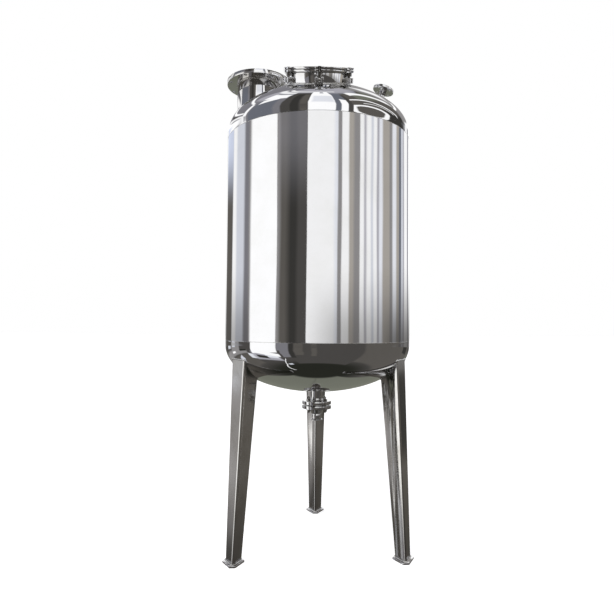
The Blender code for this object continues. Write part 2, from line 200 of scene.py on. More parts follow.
@dataclass(frozen=True)
class SteelFinish:
    """Stainless steel in one state of polish.

    Attributes:
        name: The material's name.
        grain: How the surface was worked.
        colour: Its clean colour.
        stain: The colour of its duller patches.
        roughness: Lowest and highest roughness.
        wave: Height of the slow waviness of the plate.
        scratch: Height of the fine marks.
        fade: Share of its colour left at the floor, as painted shade; full at fade_top and above.
        fade_top: Height in metres at which it has its full colour, free of that painted shade.
        place: Where the middle of a turned face is, and how it lies.
    """

    name: str
    grain: Grain
    colour: Colour = (0.70, 0.70, 0.71)
    stain: Colour = (0.60, 0.59, 0.57)
    roughness: tuple[float, float] = (0.03, 0.07)
    wave: float = 0.0
    scratch: float = 0.00002
    fade: float = 1.0
    fade_top: float = 0.55
    place: Matrix = field(default_factory=lambda: Matrix.Identity(4))

    WAVE_SCALE = 1.7
    PATCH_SCALE = 6.0
    PATCH_RANGE = (0.35, 0.75)
    FINE_SCALE = 420.0
    RING_SCALE = 260.0
    BEAD_SCALE = 150.0
    MARK_RANGE = (0.2, 0.9)
    MARK_SHARE = (0.5, 1.0)
    DRAWN_STRETCH = (1.0, 1.0, 0.06)
    MIRROR_STRETCH = (0.25, 0.25, 1.0)
    FADE_BASE = 0.05

    def build(self) -> bpy.types.Material:
        """Makes the material.

        Returns:
            The material.
        """
        material = bpy.data.materials.new(self.name)
        material.use_nodes = True
        desk = NodeDesk(material.node_tree)
        where = desk.add("TexCoord").outputs["Object"]
        turned = self._into_place(desk, where)
        patches = desk.add("TexNoise", Vector=where, Scale=self.PATCH_SCALE, Detail=6.0, Roughness=0.62)
        share = desk.rescale(patches.outputs[0], *self.PATCH_RANGE, 0.0, 1.0)
        colour = desk.mix(share, (*self.colour, 1), (*self.stain, 1))
        # Painted shade: the colour darkens towards the floor, down to the share fade at floor level.
        if self.fade < 1.0:
            height = desk.add("SeparateXYZ", Vector=where).outputs[2]
            dimmed = desk.mix(1.0 - self.fade, colour, (0, 0, 0, 1))
            full = desk.rescale(height, self.FADE_BASE, self.fade_top, 0.0, 1.0)
            colour = desk.mix(full, dimmed, colour)
        marks = self._marks(desk, where, turned)
        worn = desk.rescale(marks, *self.MARK_RANGE, *self.MARK_SHARE)
        smears = desk.sums("MULTIPLY", share, worn)
        low, high = self.roughness
        shader = desk.add("BsdfPrincipled", Metallic=1.0, Base_Color=colour)
        desk.plug(shader, "Roughness", desk.rescale(smears, 0.0, 1.0, low, high))
        desk.plug(shader, "Normal", self._relief(desk, where, marks))
        desk.add("OutputMaterial", Surface=shader.outputs[0])
        return material

    def _into_place(self, desk: NodeDesk, where: bpy.types.NodeSocket) -> bpy.types.NodeSocket:
        """Moves the pattern so that its Z axis is the turned face's own.

        Args:
            desk: Where the nodes go.
            where: Object coordinates.

        Returns:
            The moved coordinates.
        """
        back = self.place.inverted()
        node = desk.add("Mapping", Vector=where, Location=back.translation, Rotation=back.to_euler())
        return node.outputs[0]

    def _marks(
        self, desk: NodeDesk, where: bpy.types.NodeSocket, turned: bpy.types.NodeSocket
    ) -> bpy.types.NodeSocket:
        """The fine marks of the way the surface was worked.

        Args:
            desk: Where the nodes go.
            where: Object coordinates.
            turned: The same in the piece's own place.

        Returns:
            Their height, from 0 to 1.
        """
        if self.grain is Grain.TURNED:
            rings = {"wave_type": "RINGS", "rings_direction": "Z"}
            node = desk.add(
                "TexWave", rings, Vector=turned, Scale=self.RING_SCALE, Distortion=0.4, Detail=1.0
            )
            return node.outputs["Fac"]
        if self.grain is Grain.WELD:
            node = desk.add("TexNoise", Vector=where, Scale=self.BEAD_SCALE, Detail=3.0, Roughness=0.6)
            return node.outputs[0]
        stretch = self.DRAWN_STRETCH if self.grain is Grain.DRAWN else self.MIRROR_STRETCH
        lines = desk.add("Mapping", Vector=where, Scale=stretch)
        node = desk.add(
            "TexNoise", Vector=lines.outputs[0], Scale=self.FINE_SCALE, Detail=2.0, Roughness=0.5
        )
        return node.outputs[0]

    def _relief(
        self, desk: NodeDesk, where: bpy.types.NodeSocket, marks: bpy.types.NodeSocket
    ) -> bpy.types.NodeSocket:
        """The surface normal with the slow waves of the plate under the fine marks.

        Args:
            desk: Where the nodes go.
            where: Object coordinates.
            marks: Height of the fine marks.

        Returns:
            The normal.
        """
        slow = desk.add("TexNoise", Vector=where, Scale=self.WAVE_SCALE, Detail=1.0, Roughness=0.4)
        waves = desk.add("Bump", Strength=1.0, Distance=self.wave, Height=slow.outputs[0])
        fine = desk.add("Bump", Strength=1.0, Distance=self.scratch, Height=marks)
        desk.plug(fine, "Normal", waves.outputs[0])
        return fine.outputs[0]


@dataclass(frozen=True)
class RubberFinish:
    """Dark jointing sheet of a gasket.

    Attributes:
        name: The material's name.
        colour: Its clean colour.
        dust: The colour of its dusty patches.
        grit_scale: How fine its grit is.
        grit: Height of the grit.
        dust_scale: How close the dusty patches lie.
        dust_most: Share of dust where it is thickest.
        roughness: Lowest and highest roughness.
    """

    name: str
    colour: Colour = (0.022, 0.022, 0.021)
    dust: Colour = (0.075, 0.073, 0.068)
    grit_scale: float = 900.0
    grit: float = 0.0002
    dust_scale: float = 18.0
    dust_most: float = 0.7
    roughness: tuple[float, float] = (0.62, 0.9)

    def build(self) -> bpy.types.Material:
        """Makes the material.

        Returns:
            The material.
        """
        material = bpy.data.materials.new(self.name)
        material.use_nodes = True
        desk = NodeDesk(material.node_tree)
        where = desk.add("TexCoord").outputs["Object"]
        grit = desk.add("TexNoise", Vector=where, Scale=self.grit_scale, Detail=3.0)
        dirt = desk.add("TexNoise", Vector=where, Scale=self.dust_scale, Detail=5.0)
        dusty = desk.rescale(dirt.outputs[0], 0.4, 0.75, 0.0, self.dust_most)
        colour = desk.mix(dusty, (*self.colour, 1), (*self.dust, 1))
        shader = desk.add("BsdfPrincipled", Base_Color=colour)
        desk.plug(shader, "Roughness", desk.rescale(grit.outputs[0], 0.2, 0.8, *self.roughness))
        bump = desk.add("Bump", Strength=0.6, Distance=self.grit, Height=grit.outputs[0])
        desk.plug(shader, "Normal", bump.outputs[0])
        desk.add("OutputMaterial", Surface=shader.outputs[0])
        return material


def eased(outline: Sequence[Point2], radius: float, steps: int = 4) -> list[Point2]:
    """Rounds every corner of a closed outline.

    Args:
        outline: The corners, in order.
        radius: The radius of the rounding, less where a side is short.
        steps: Pieces of each rounding.

    Returns:
        The corners' arcs, in order.
    """
    points: list[Point2] = []
    count = len(outline)
    for index in range(count):
        corner = Vector(outline[index])
        before = Vector(outline[index - 1]) - corner
        after = Vector(outline[(index + 1) % count]) - corner
        reach = min(radius, before.length * 0.45, after.length * 0.45)
        start = corner + before.normalized() * reach
        end = corner + after.normalized() * reach
        for step in range(steps + 1):
            share = step / steps
            place = start.lerp(corner, share).lerp(corner.lerp(end, share), share)
            points.append((place.x, place.y))
    return points


def tube(inner: float, outer: float, low: float, high: float) -> list[Point2]:
    """The section of a plain ring or pipe."""
    return [(inner, low), (outer, low), (outer, high), (inner, high)]


def turned(outline: Sequence[Point2], steps: int, closed: bool = True) -> bmesh.types.BMesh:
    """Spins a section about the Z axis.

    Args:
        outline: (radius, height) points.
        steps: How many faces go round.
        closed: Whether the last point joins the first.

    Returns:
        The spun mesh.
    """
    mesh = bmesh.new()
    verts = [mesh.verts.new((across, 0.0, height)) for across, height in outline]
    edges = [mesh.edges.new(pair) for pair in zip(verts, verts[1:])]
    if closed:
        edges.append(mesh.edges.new((verts[-1], verts[0])))
    bmesh.ops.spin(
        mesh,
        geom=verts + edges,
        cent=(0, 0, 0),
        axis=(0, 0, 1),
        angle=FULL_TURN,
        steps=steps,
        use_merge=True,
    )
    return mesh


def joined(meshes: Iterable[bmesh.types.BMesh]) -> bmesh.types.BMesh:
    """Puts several meshes in one.

    Args:
        meshes: The meshes, which are freed.

    Returns:
        One mesh with them all.
    """
    whole = bmesh.new()
    for mesh in meshes:
        part = bpy.data.meshes.new("part")
        mesh.to_mesh(part)
        mesh.free()
        whole.from_mesh(part)
        bpy.data.meshes.remove(part)
    return whole


def placed(mesh: bmesh.types.BMesh, matrix: Matrix) -> bmesh.types.BMesh:
    """Moves a whole mesh by a matrix and gives it back."""
    mesh.transform(matrix)
    return mesh


def spread(count: int, first: float) -> list[float]:
    """Evenly spread turns about Z, from the first one on."""
    return [first + FULL_TURN * index / count for index in range(count)]


def on_circle(radius: float, turn: float, height: float = 0.0) -> Vector:
    """The point of a circle about Z at a turn from +X."""
    return Vector((radius * math.cos(turn), radius * math.sin(turn), height))


def beaded(
    name: str, path: Sequence[Vector], radius: float, sides: int, ripple: float, pitch: float
) -> bmesh.types.BMesh:
    """A closed weld bead along a path.

    Args:
        name: A name for the helper curve.
        path: The bead's middle, as a closed loop.
        radius: Its radius.
        sides: Half of its sides, less one.
        ripple: Share by which its radius comes and goes.
        pitch: Points from one ripple to the next.

    Returns:
        The bead's mesh.
    """
    curve = bpy.data.curves.new(name, "CURVE")
    curve.dimensions = "3D"
    curve.bevel_depth = radius
    curve.bevel_resolution = sides
    spline = curve.splines.new("POLY")
    spline.points.add(len(path) - 1)
    for index, place in enumerate(path):
        spline.points[index].co = (*place, 1.0)
        spline.points[index].radius = 1.0 + ripple * math.sin(FULL_TURN * index / pitch)
    spline.use_cyclic_u = True
    helper = bpy.data.objects.new(name, curve)
    bpy.context.scene.collection.objects.link(helper)
    solid = bpy.data.meshes.new_from_object(helper.evaluated_get(bpy.context.evaluated_depsgraph_get()))
    mesh = bmesh.new()
    mesh.from_mesh(solid)
    bpy.data.objects.remove(helper)
    bpy.data.curves.remove(curve)
    bpy.data.meshes.remove(solid)
    return mesh


@dataclass
class Workshop:
    """Turns meshes into finished pieces and keeps the finishes.

    Attributes:
        finishes: The materials made so far, by name.
        sharp: Edges that turn more than this are shaded sharp.
        flat: Faces of a CAD node that turn less than this are joined.
        widest: Its edges that turn less than this aren't eased.
        join: Its corners that are nearer than this are merged.
    """

    finishes: dict[str, bpy.types.Material] = field(default_factory=dict)
    sharp: float = math.radians(32)
    flat: float = math.radians(1)
    widest: float = math.radians(30)
    join: float = 1e-5

    def material(self, finish: SteelFinish | RubberFinish) -> bpy.types.Material:
        """The material of a finish, made once.

        Args:
            finish: The finish.

        Returns:
            Its material.
        """
        if finish.name not in self.finishes:
            self.finishes[finish.name] = finish.build()
        return self.finishes[finish.name]

    def piece(
        self,
        name: str,
        mesh: bmesh.types.BMesh,
        finish: SteelFinish | RubberFinish,
        slot: str,
        stands_for: Sequence[str] = (),
    ) -> bpy.types.Object:
        """Makes a finished piece that rides on the tank.

        Args:
            name: The piece's name.
            mesh: Its shape, in the tank's own place, which is freed.
            finish: Its surface.
            slot: Not used.
            stands_for: CAD nodes that it replaces.

        Returns:
            The new object.
        """
        bmesh.ops.remove_doubles(mesh, verts=mesh.verts, dist=TINY)
        bmesh.ops.recalc_face_normals(mesh, faces=mesh.faces)
        data = bpy.data.meshes.new(name)
        mesh.to_mesh(data)
        mesh.free()
        data.shade_smooth()
        data.set_sharp_from_angle(angle=self.sharp)
        data.materials.append(self.material(finish))
        thing = bpy.data.objects.new(name, data)
        bpy.context.scene.collection.objects.link(thing)
        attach(thing, BODY)
        if stands_for:
            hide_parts(*stands_for)
        LOG.info("%s: %d faces", name, len(data.polygons))
        return thing

    def drill(self, thing: bpy.types.Object, tools: Iterable[bmesh.types.BMesh]) -> None:
        """Takes cutters' shapes out of a piece for good.

        Args:
            thing: The piece.
            tools: Closed meshes, which are freed.
        """
        helpers = []
        for mesh in tools:
            bmesh.ops.remove_doubles(mesh, verts=mesh.verts, dist=TINY)
            bmesh.ops.recalc_face_normals(mesh, faces=mesh.faces)
            data = bpy.data.meshes.new("cutter")
            mesh.to_mesh(data)
            mesh.free()
            helper = bpy.data.objects.new("cutter", data)
            bpy.context.scene.collection.objects.link(helper)
            helpers.append(helper)
            modifier = thing.modifiers.new("hole", "BOOLEAN")
            modifier.operation = "DIFFERENCE"
            modifier.solver = "EXACT"
            modifier.object = helper
        shape = thing.evaluated_get(bpy.context.evaluated_depsgraph_get())
        data = bpy.data.meshes.new_from_object(shape)
        thing.modifiers.clear()
        old, thing.data = thing.data, data
        data.name = thing.name
        bpy.data.meshes.remove(old)
        data.shade_smooth()
        data.set_sharp_from_angle(angle=self.sharp)
        for helper in helpers:
            bpy.data.objects.remove(helper)

    def dressed_copy(
        self, node: str, name: str, finish: SteelFinish, slot: str, edge: float
    ) -> bpy.types.Object:
        """A CAD node's shape with its triangles joined and its sharp edges eased.

        Args:
            node: The CAD node.
            name: The new piece's name.
            finish: Its surface.
            slot: The record's slot.
            edge: Width of the easing, or 0 for none.

        Returns:
            The new object.
        """
        mesh = bmesh.new()
        mesh.from_mesh(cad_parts[node].data)
        bmesh.ops.remove_doubles(mesh, verts=mesh.verts, dist=self.join)
        bmesh.ops.dissolve_limit(
            mesh, angle_limit=self.flat, verts=mesh.verts, edges=mesh.edges, delimit={"NORMAL"}
        )
        if edge > 0:
            inner = [item for item in mesh.edges if item.is_manifold]
            sharp = [item for item in inner if item.calc_face_angle(0) > self.widest]
            bmesh.ops.bevel(
                mesh, geom=sharp, offset=edge, segments=2, profile=0.5, affect="EDGES", material=-1
            )
        return self.piece(name, mesh, finish, slot, (node,))


@dataclass(frozen=True)
class Hexagon:
    """A hexagon nut, chamfered at both ends.

    Attributes:
        across: Its width across the flats.
        height: Its height.
    """

    across: float
    height: float
    ROUND_STEPS = 24
    FLAT_SHARE = 0.46
    RIM_SHARE = 0.9
    CHAMFER = math.tan(math.radians(30))

    def mesh(self) -> bmesh.types.BMesh:
        """Its shape, standing on the XY plane.

        Returns:
            The mesh.
        """
        body = bmesh.new()
        bmesh.ops.create_cone(
            body,
            cap_ends=True,
            segments=self.ROUND_STEPS,
            radius1=self.across,
            radius2=self.across,
            depth=self.height,
            matrix=Matrix.Translation((0, 0, self.height / 2)),
        )
        caps = [face for face in body.faces if len(face.verts) > 4]
        bmesh.ops.inset_individual(body, faces=caps, thickness=self.across / 2)
        ring = self.across * self.FLAT_SHARE
        sixth = math.pi / 3
        for vert in body.verts:
            way = vert.co.xy.normalized()
            turn = (math.atan2(way.y, way.x) + sixth / 2) % sixth - sixth / 2
            side = self.across / 2 / math.cos(turn)
            if vert.co.xy.length < self.across * self.RIM_SHARE:
                vert.co.xy = way * ring
            else:
                drop = (side - ring) * self.CHAMFER
                level = abs(drop - vert.co.z) if vert.co.z < TINY else vert.co.z - drop
                vert.co = (*(way * side), level)
        return body


@dataclass(frozen=True)
class Stud:
    """A threaded rod with a chamfer at each end.

    Attributes:
        radius: Its outside radius.
        low: Its lower end.
        high: Its upper end.
        pitch: From one thread to the next.
        depth: Depth of the thread.
    """

    radius: float
    low: float
    high: float
    pitch: float = 0.002
    depth: float = 0.0007

    def mesh(self) -> bmesh.types.BMesh:
        """Its shape, upright about Z.

        Returns:
            The mesh.
        """
        core = self.radius - self.depth
        outline: list[Point2] = [(0.0, self.low), (core, self.low)]
        turns = int((self.high - self.low - 2 * self.depth) / self.pitch)
        for index in range(turns):
            level = self.low + self.depth + self.pitch * index
            outline.append((core, level))
            outline.append((self.radius, level + self.pitch / 2))
        outline += [(core, self.high), (0.0, self.high)]
        return turned(outline, 16, closed=False)


def washer(inner: float, outer: float, low: float, thick: float) -> bmesh.types.BMesh:
    """A plain washer standing on a level."""
    return turned(eased(tube(inner, outer, low, low + thick), thick / 3, 2), 28)


@dataclass(frozen=True)
class DishedEnd:
    """The outside of a dished head.

    Attributes:
        radius: Outside radius of its straight flange.
        seam: Height of its girth seam.
        way: 1 where it bulges up and -1 where it bulges down.
        dish: Depth of its curved part.
        straight: Height of its straight flange.
        squareness: 2 for an ellipse, more for a boxier knuckle.
        plate: Thickness.
    """

    radius: float
    seam: float
    way: int
    dish: float
    straight: float
    squareness: float
    plate: float = 0.004

    STEPS = 44
    SKIRT_SHARES = (0.0, 0.12, 0.27, 0.45, 0.65, 0.85)
    SEAM_LEAN = math.tan(math.radians(2.0))
    SEAM_REACH = 0.08
    SEARCH = 0.2

    def drawn_in(self, height: float) -> float:
        """How far the weld's shrinkage draws the head in at a height from its seam."""
        return self.SEAM_LEAN * height * math.exp(-height / self.SEAM_REACH)

    def curve(self, offset: float = 0.0) -> list[Point2]:
        """(radius, height above the seam) points from the rim up to the crown.

        Args:
            offset: How far outside the head's own surface.

        Returns:
            The points.
        """
        power = 2 / self.squareness
        radius, dish = self.radius + offset, self.dish + offset
        points: list[Point2] = [(radius, self.straight * share) for share in self.SKIRT_SHARES]
        for index in range(self.STEPS):
            turn = math.pi / 2 * index / self.STEPS
            across = radius * math.cos(turn) ** power
            points.append((across, self.straight + dish * math.sin(turn) ** power))
        points = [(max(0.0, across - self.drawn_in(up)), up) for across, up in points]
        return points + [(0.0, self.straight + dish)]

    def level(self, across: float, offset: float = 0.0) -> float:
        """Height above the floor of its surface at a distance from the centre line."""
        share = max(0.0, 1 - (across / (self.radius + offset)) ** self.squareness)
        return self.seam + self.way * (
            self.straight + (self.dish + offset) * share ** (1 / self.squareness)
        )

    def outline(self, groove: float) -> list[Point2]:
        """The section of its plate, with a chamfer for the girth weld.

        Args:
            groove: Width of the chamfer at the seam.

        Returns:
            (radius, height) points from the crown, down outside and back up inside.
        """
        outer = self.curve()[::-1]
        outer[-1] = (self.radius, groove)
        outer.append((self.radius - groove, GAP))
        inner = self.curve(-self.plate)
        return [(across, self.seam + self.way * height) for across, height in outer + inner]

    def dome(self, offset: float, back: float) -> bmesh.types.BMesh:
        """A solid dome inside or outside the head, closed behind the seam.

        Args:
            offset: How far outside the head's own surface.
            back: How far past the seam it reaches.

        Returns:
            The mesh.
        """
        points = [(across, self.seam + self.way * height) for across, height in self.curve(offset)]
        rear = self.seam - self.way * back
        return turned([(0.0, rear), (self.radius + offset, rear)] + points, 128, closed=False)

    def follow(self, place: Matrix, outline: Iterable[Point2], lift: float) -> list[Vector]:
        """Where an outline that is pushed along a nozzle's axis meets the head.

        Args:
            place: The nozzle's place, with its axis as Z.
            outline: Points across the axis.
            lift: How far outside the surface the path runs.

        Returns:
            World points on the surface.
        """
        path = []
        for x, y in outline:
            low, high = -self.SEARCH, self.SEARCH
            for _ in range(HALVINGS):
                middle = (low + high) / 2
                point = place @ Vector((x, y, middle))
                below = point.z < self.level(math.hypot(point.x, point.y), lift)
                low, high = (middle, high) if below else (low, middle)
            path.append(place @ Vector((x, y, low)))
        return path


@dataclass
class Vessel:
    """The shell and its two dished ends.

    Attributes:
        shop: What makes the pieces.
        top_straight: Height of the top head's straight flange.
        top_squareness: 2 for an ellipse, more for a boxier knuckle.
        bottom_straight: The same for the bottom head.
        bottom_squareness: The same for the bottom head.
        bottom_dish: Depth of the bottom head's curved part.
        plate: Thickness of all three.
        groove: Width of the chamfer at the girth seams.
        steps: Faces round.
    """

    shop: Workshop
    top_straight: float = 0.035
    top_squareness: float = 2.1
    bottom_straight: float = 0.025
    bottom_squareness: float = 2.0
    bottom_dish: float = 0.250
    plate: float = 0.004
    groove: float = 0.0016
    steps: int = 192
    top: DishedEnd = field(init=False)
    bottom: DishedEnd = field(init=False)
    radius: float = field(init=False)
    low: float = field(init=False)
    high: float = field(init=False)

    SHELL_STEEL = SteelFinish(
        "bright_shell_plate",
        Grain.DRAWN,
        stain=(0.67, 0.67, 0.67),
        roughness=(0.035, 0.07),
        wave=0.0014,
        scratch=0.000006,
    )
    HEAD_STEEL = SteelFinish(
        "mirror_head_plate",
        Grain.MIRROR,
        stain=(0.66, 0.66, 0.66),
        roughness=(0.02, 0.05),
        wave=0.001,
        scratch=0.000006,
    )
    SEAM_STEEL = SteelFinish(
        "ground_girth_weld", Grain.WELD, colour=(0.60, 0.60, 0.60), roughness=(0.12, 0.3), scratch=0.0001
    )
    BEAD_SHAPE = ((-1.2, -1.0), (-0.3, -0.8), (-0.1, 0.0), (-0.3, 0.8), (-1.2, 1.0))

    def __post_init__(self) -> None:
        """Reads the sizes that the frame holds."""
        low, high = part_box("shell")
        self.radius, self.low, self.high = high.x, low.z, high.z
        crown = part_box("top_head")[1].z
        self.top = DishedEnd(
            self.radius,
            self.high + GAP / 2,
            1,
            crown - self.high - self.top_straight - GAP,
            self.top_straight,
            self.top_squareness,
            self.plate,
        )
        self.bottom = DishedEnd(
            self.radius,
            self.low - GAP / 2,
            -1,
            self.bottom_dish,
            self.bottom_straight,
            self.bottom_squareness,
            self.plate,
        )

    def build(self) -> dict[str, bpy.types.Object]:
        """Makes the three plates and the two girth welds.

        Returns:
            The top and bottom heads, for their holes.
        """
        inner, groove = self.radius - self.plate, self.groove
        section = [
            (inner, self.low),
            (self.radius - groove, self.low),
            (self.radius, self.low + groove),
            (self.radius, self.high - groove),
            (self.radius - groove, self.high),
            (inner, self.high),
        ]
        shell = turned(section, self.steps)
        self.shop.piece("shell_plate", shell, self.SHELL_STEEL, "shell_plate", ("shell",))
        heads = {}
        for name, end in (("top_head", self.top), ("bottom_head", self.bottom)):
            mesh = turned(end.outline(groove), self.steps, closed=False)
            heads[name] = self.shop.piece(f"{name}_plate", mesh, self.HEAD_STEEL, "head_plate", (name,))
        for name, level in (("top", self.top.seam), ("bottom", self.bottom.seam)):
            bead = [(self.radius + groove * out, level + groove * up) for out, up in self.BEAD_SHAPE]
            self.shop.piece(
                f"{name}_girth_weld", turned(bead, self.steps), self.SEAM_STEEL, "shell_plate"
            )
        return heads


FITTING_STEEL = SteelFinish(
    "bright_fitting_steel",
    Grain.MIRROR,
    stain=(0.60, 0.59, 0.57),
    roughness=(0.04, 0.10),
    wave=0.0004,
    scratch=0.000008,
)
LUG_STEEL = SteelFinish(
    "satin_lug_steel", Grain.DRAWN, stain=(0.60, 0.59, 0.57), roughness=(0.26, 0.36), scratch=0.00002
)
WELD_STEEL = SteelFinish(
    "pickled_weld_bead",
    Grain.WELD,
    colour=(0.72, 0.72, 0.71),
    stain=(0.52, 0.50, 0.47),
    roughness=(0.10, 0.24),
    scratch=0.00012,
)
BOLT_STEEL = SteelFinish(
    "bolt_steel",
    Grain.MIRROR,
    colour=(0.44, 0.43, 0.41),
    stain=(0.26, 0.25, 0.23),
    roughness=(0.10, 0.24),
    scratch=0.00003,
)
JOINTING = RubberFinish("jointing_sheet")


@dataclass
class Nozzle:
    """What every nozzle has: its place, its neck, and the weld that joins it to a head.

    Attributes:
        shop: What makes the pieces.
        end: The head that it stands on.
        head: That head's piece, for the hole.
        name: Its name.
        place: Where its axis meets the head, with the axis as Z.
        radius: Outside radius of its pipe.
        wall: Thickness of the pipe.
        neck_top: Height of the pipe's end.
        steps: Faces round.
    """

    shop: Workshop
    end: DishedEnd
    head: bpy.types.Object
    name: str
    place: Matrix
    radius: float
    wall: float
    neck_top: float
    steps: int = 96

    REACH = 0.15
    PIPE_EASE = 0.0008
    BEAD = 0.0042
    BEAD_SIDES = 3
    FOOT_STEP = 0.0016
    COLLAR_BEAD = 0.003
    COLLAR_STEP = 0.002
    COLLAR_OFF = 0.0005
    RIPPLE = 0.10
    RIPPLE_POINTS = 4
    FLANGE_EASE = 0.0012
    HOLE_STEPS = 32

    def neck(self) -> bpy.types.Object:
        """The pipe, cut off inside the head, and its hole in the head.

        Returns:
            The pipe.
        """
        section = tube(self.radius - self.wall, self.radius, -self.REACH, self.neck_top)
        mesh = placed(turned(eased(section, self.PIPE_EASE, 2), self.steps), self.place)
        pipe = self.shop.piece(
            f"{self.name}_neck_pipe", mesh, FITTING_STEEL, "fittings", (f"{self.name}_neck",)
        )
        self.shop.drill(pipe, [self.end.dome(-self.end.plate, self.REACH)])
        hole = turned(self._plug(self.radius + GAP, -self.REACH, self.REACH), self.steps, closed=False)
        self.shop.drill(self.head, [placed(hole, self.place)])
        return pipe

    @staticmethod
    def _plug(radius: float, low: float, high: float) -> list[Point2]:
        """The section of a solid cylinder."""
        return [(0.0, low), (radius, low), (radius, high), (0.0, high)]

    def foot_weld(self, place: Matrix | None = None) -> None:
        """The bead where the neck stands on the head.

        Args:
            place: Where the neck meets the head, if not at the nozzle's own place.
        """
        count = max(96, int(self.radius * FULL_TURN / self.FOOT_STEP))
        across = self.radius + self.BEAD * 0.35
        outline = [(across * math.cos(turn), across * math.sin(turn)) for turn in spread(count, 0.0)]
        path = self.end.follow(place or self.place, outline, self.end.way * self.BEAD * 0.1)
        bead = beaded(
            f"{self.name}_path", path, self.BEAD, self.BEAD_SIDES, self.RIPPLE, self.RIPPLE_POINTS
        )
        self.shop.piece(f"{self.name}_foot_weld", bead, WELD_STEEL, "fittings")

    def collar_weld(self, level: float, size: float) -> None:
        """The small bead where the neck meets its flange.

        Args:
            level: Height of the joint along the neck.
            size: Radius of the bead.
        """
        across = self.radius + size * 0.2
        count = max(72, int(across * FULL_TURN / self.COLLAR_STEP))
        path = [self.place @ on_circle(across, turn, level) for turn in spread(count, 0.0)]
        bead = beaded(f"{self.name}_collar_path", path, size, 2, self.RIPPLE, self.RIPPLE_POINTS)
        self.shop.piece(f"{self.name}_collar_weld", bead, WELD_STEEL, "fittings")

    def bolt_cutters(
        self, radius: float, circle: float, count: int, low: float, high: float, ease: float = 0.001
    ) -> list[bmesh.types.BMesh]:
        """Cutters for eased bolt holes that straddle the centre lines.

        Args:
            radius: Radius of a hole.
            circle: Radius of the bolt circle.
            count: How many holes.
            low: Underside of the flange.
            high: Upper side of the flange.
            ease: Width of the chamfer at each end.

        Returns:
            A mesh for each hole.
        """
        reach = 0.02
        section = [
            (0.0, low - reach),
            (radius + ease + reach, low - reach),
            (radius, low + ease),
            (radius, high - ease),
            (radius + ease + reach, high + reach),
            (0.0, high + reach),
        ]
        tools = []
        for turn in spread(count, math.pi / count):
            at = self.place @ Matrix.Translation(on_circle(circle, turn))
            tools.append(placed(turned(section, self.HOLE_STEPS, closed=False), at))
        return tools

    def turned_steel(self, name: str) -> SteelFinish:
        """A lathe-turned finish about this nozzle's own axis.

        Args:
            name: The material's name.

        Returns:
            The finish.
        """
        return SteelFinish(
            name,
            Grain.TURNED,
            roughness=(0.07, 0.15),
            scratch=0.000008,
            stain=(0.58, 0.57, 0.55),
            place=self.place,
        )

    def flange(
        self, node: str, section: Sequence[Point2], ease: float, finish: SteelFinish
    ) -> bpy.types.Object:
        """A turned flange that stands for a CAD node.

        Args:
            node: The CAD node.
            section: Its section.
            ease: Radius of its eased corners.
            finish: Its surface.

        Returns:
            The piece.
        """
        mesh = placed(turned(eased(section, ease, 3), self.steps), self.place)
        return self.shop.piece(f"{node}_ring", mesh, finish, "fittings", (node,))


@dataclass
class OpenNozzle(Nozzle):
    """A nozzle that ends in an open bolted flange with a raised face.

    Attributes:
        underside: Level of the flange's underside along the neck.
        rim: The flange's outside radius.
        thick: Its thickness without the raised face.
        face: Radius of the raised face.
        raised: Height of the raised face.
        circle: Radius of the bolt circle.
        bolts: How many bolt holes.
        hole: Radius of a bolt hole.
    """

    underside: float = 0.0
    rim: float = 0.0
    thick: float = 0.0
    face: float = 0.0
    raised: float = 0.002
    circle: float = 0.0
    bolts: int = 4
    hole: float = 0.006

    COLLAR_MOST = 0.0035

    def build(self) -> None:
        """Makes the neck, the flange and the welds."""
        self.neck()
        self.foot_weld()
        low, high = self.underside, self.underside + self.thick
        bore = self.radius + GAP
        top = high + self.raised
        section = [
            (bore, low),
            (self.rim, low),
            (self.rim, high),
            (self.face, high),
            (self.face, top),
            (bore, top),
        ]
        steel = self.turned_steel(f"turned_{self.name}_flange")
        ring = self.flange(f"{self.name}_flange", section, self.FLANGE_EASE, steel)
        self.shop.drill(ring, self.bolt_cutters(self.hole, self.circle, self.bolts, low, high))
        self.collar_weld(low - self.COLLAR_OFF, min(self.COLLAR_MOST, self.radius * 0.08))


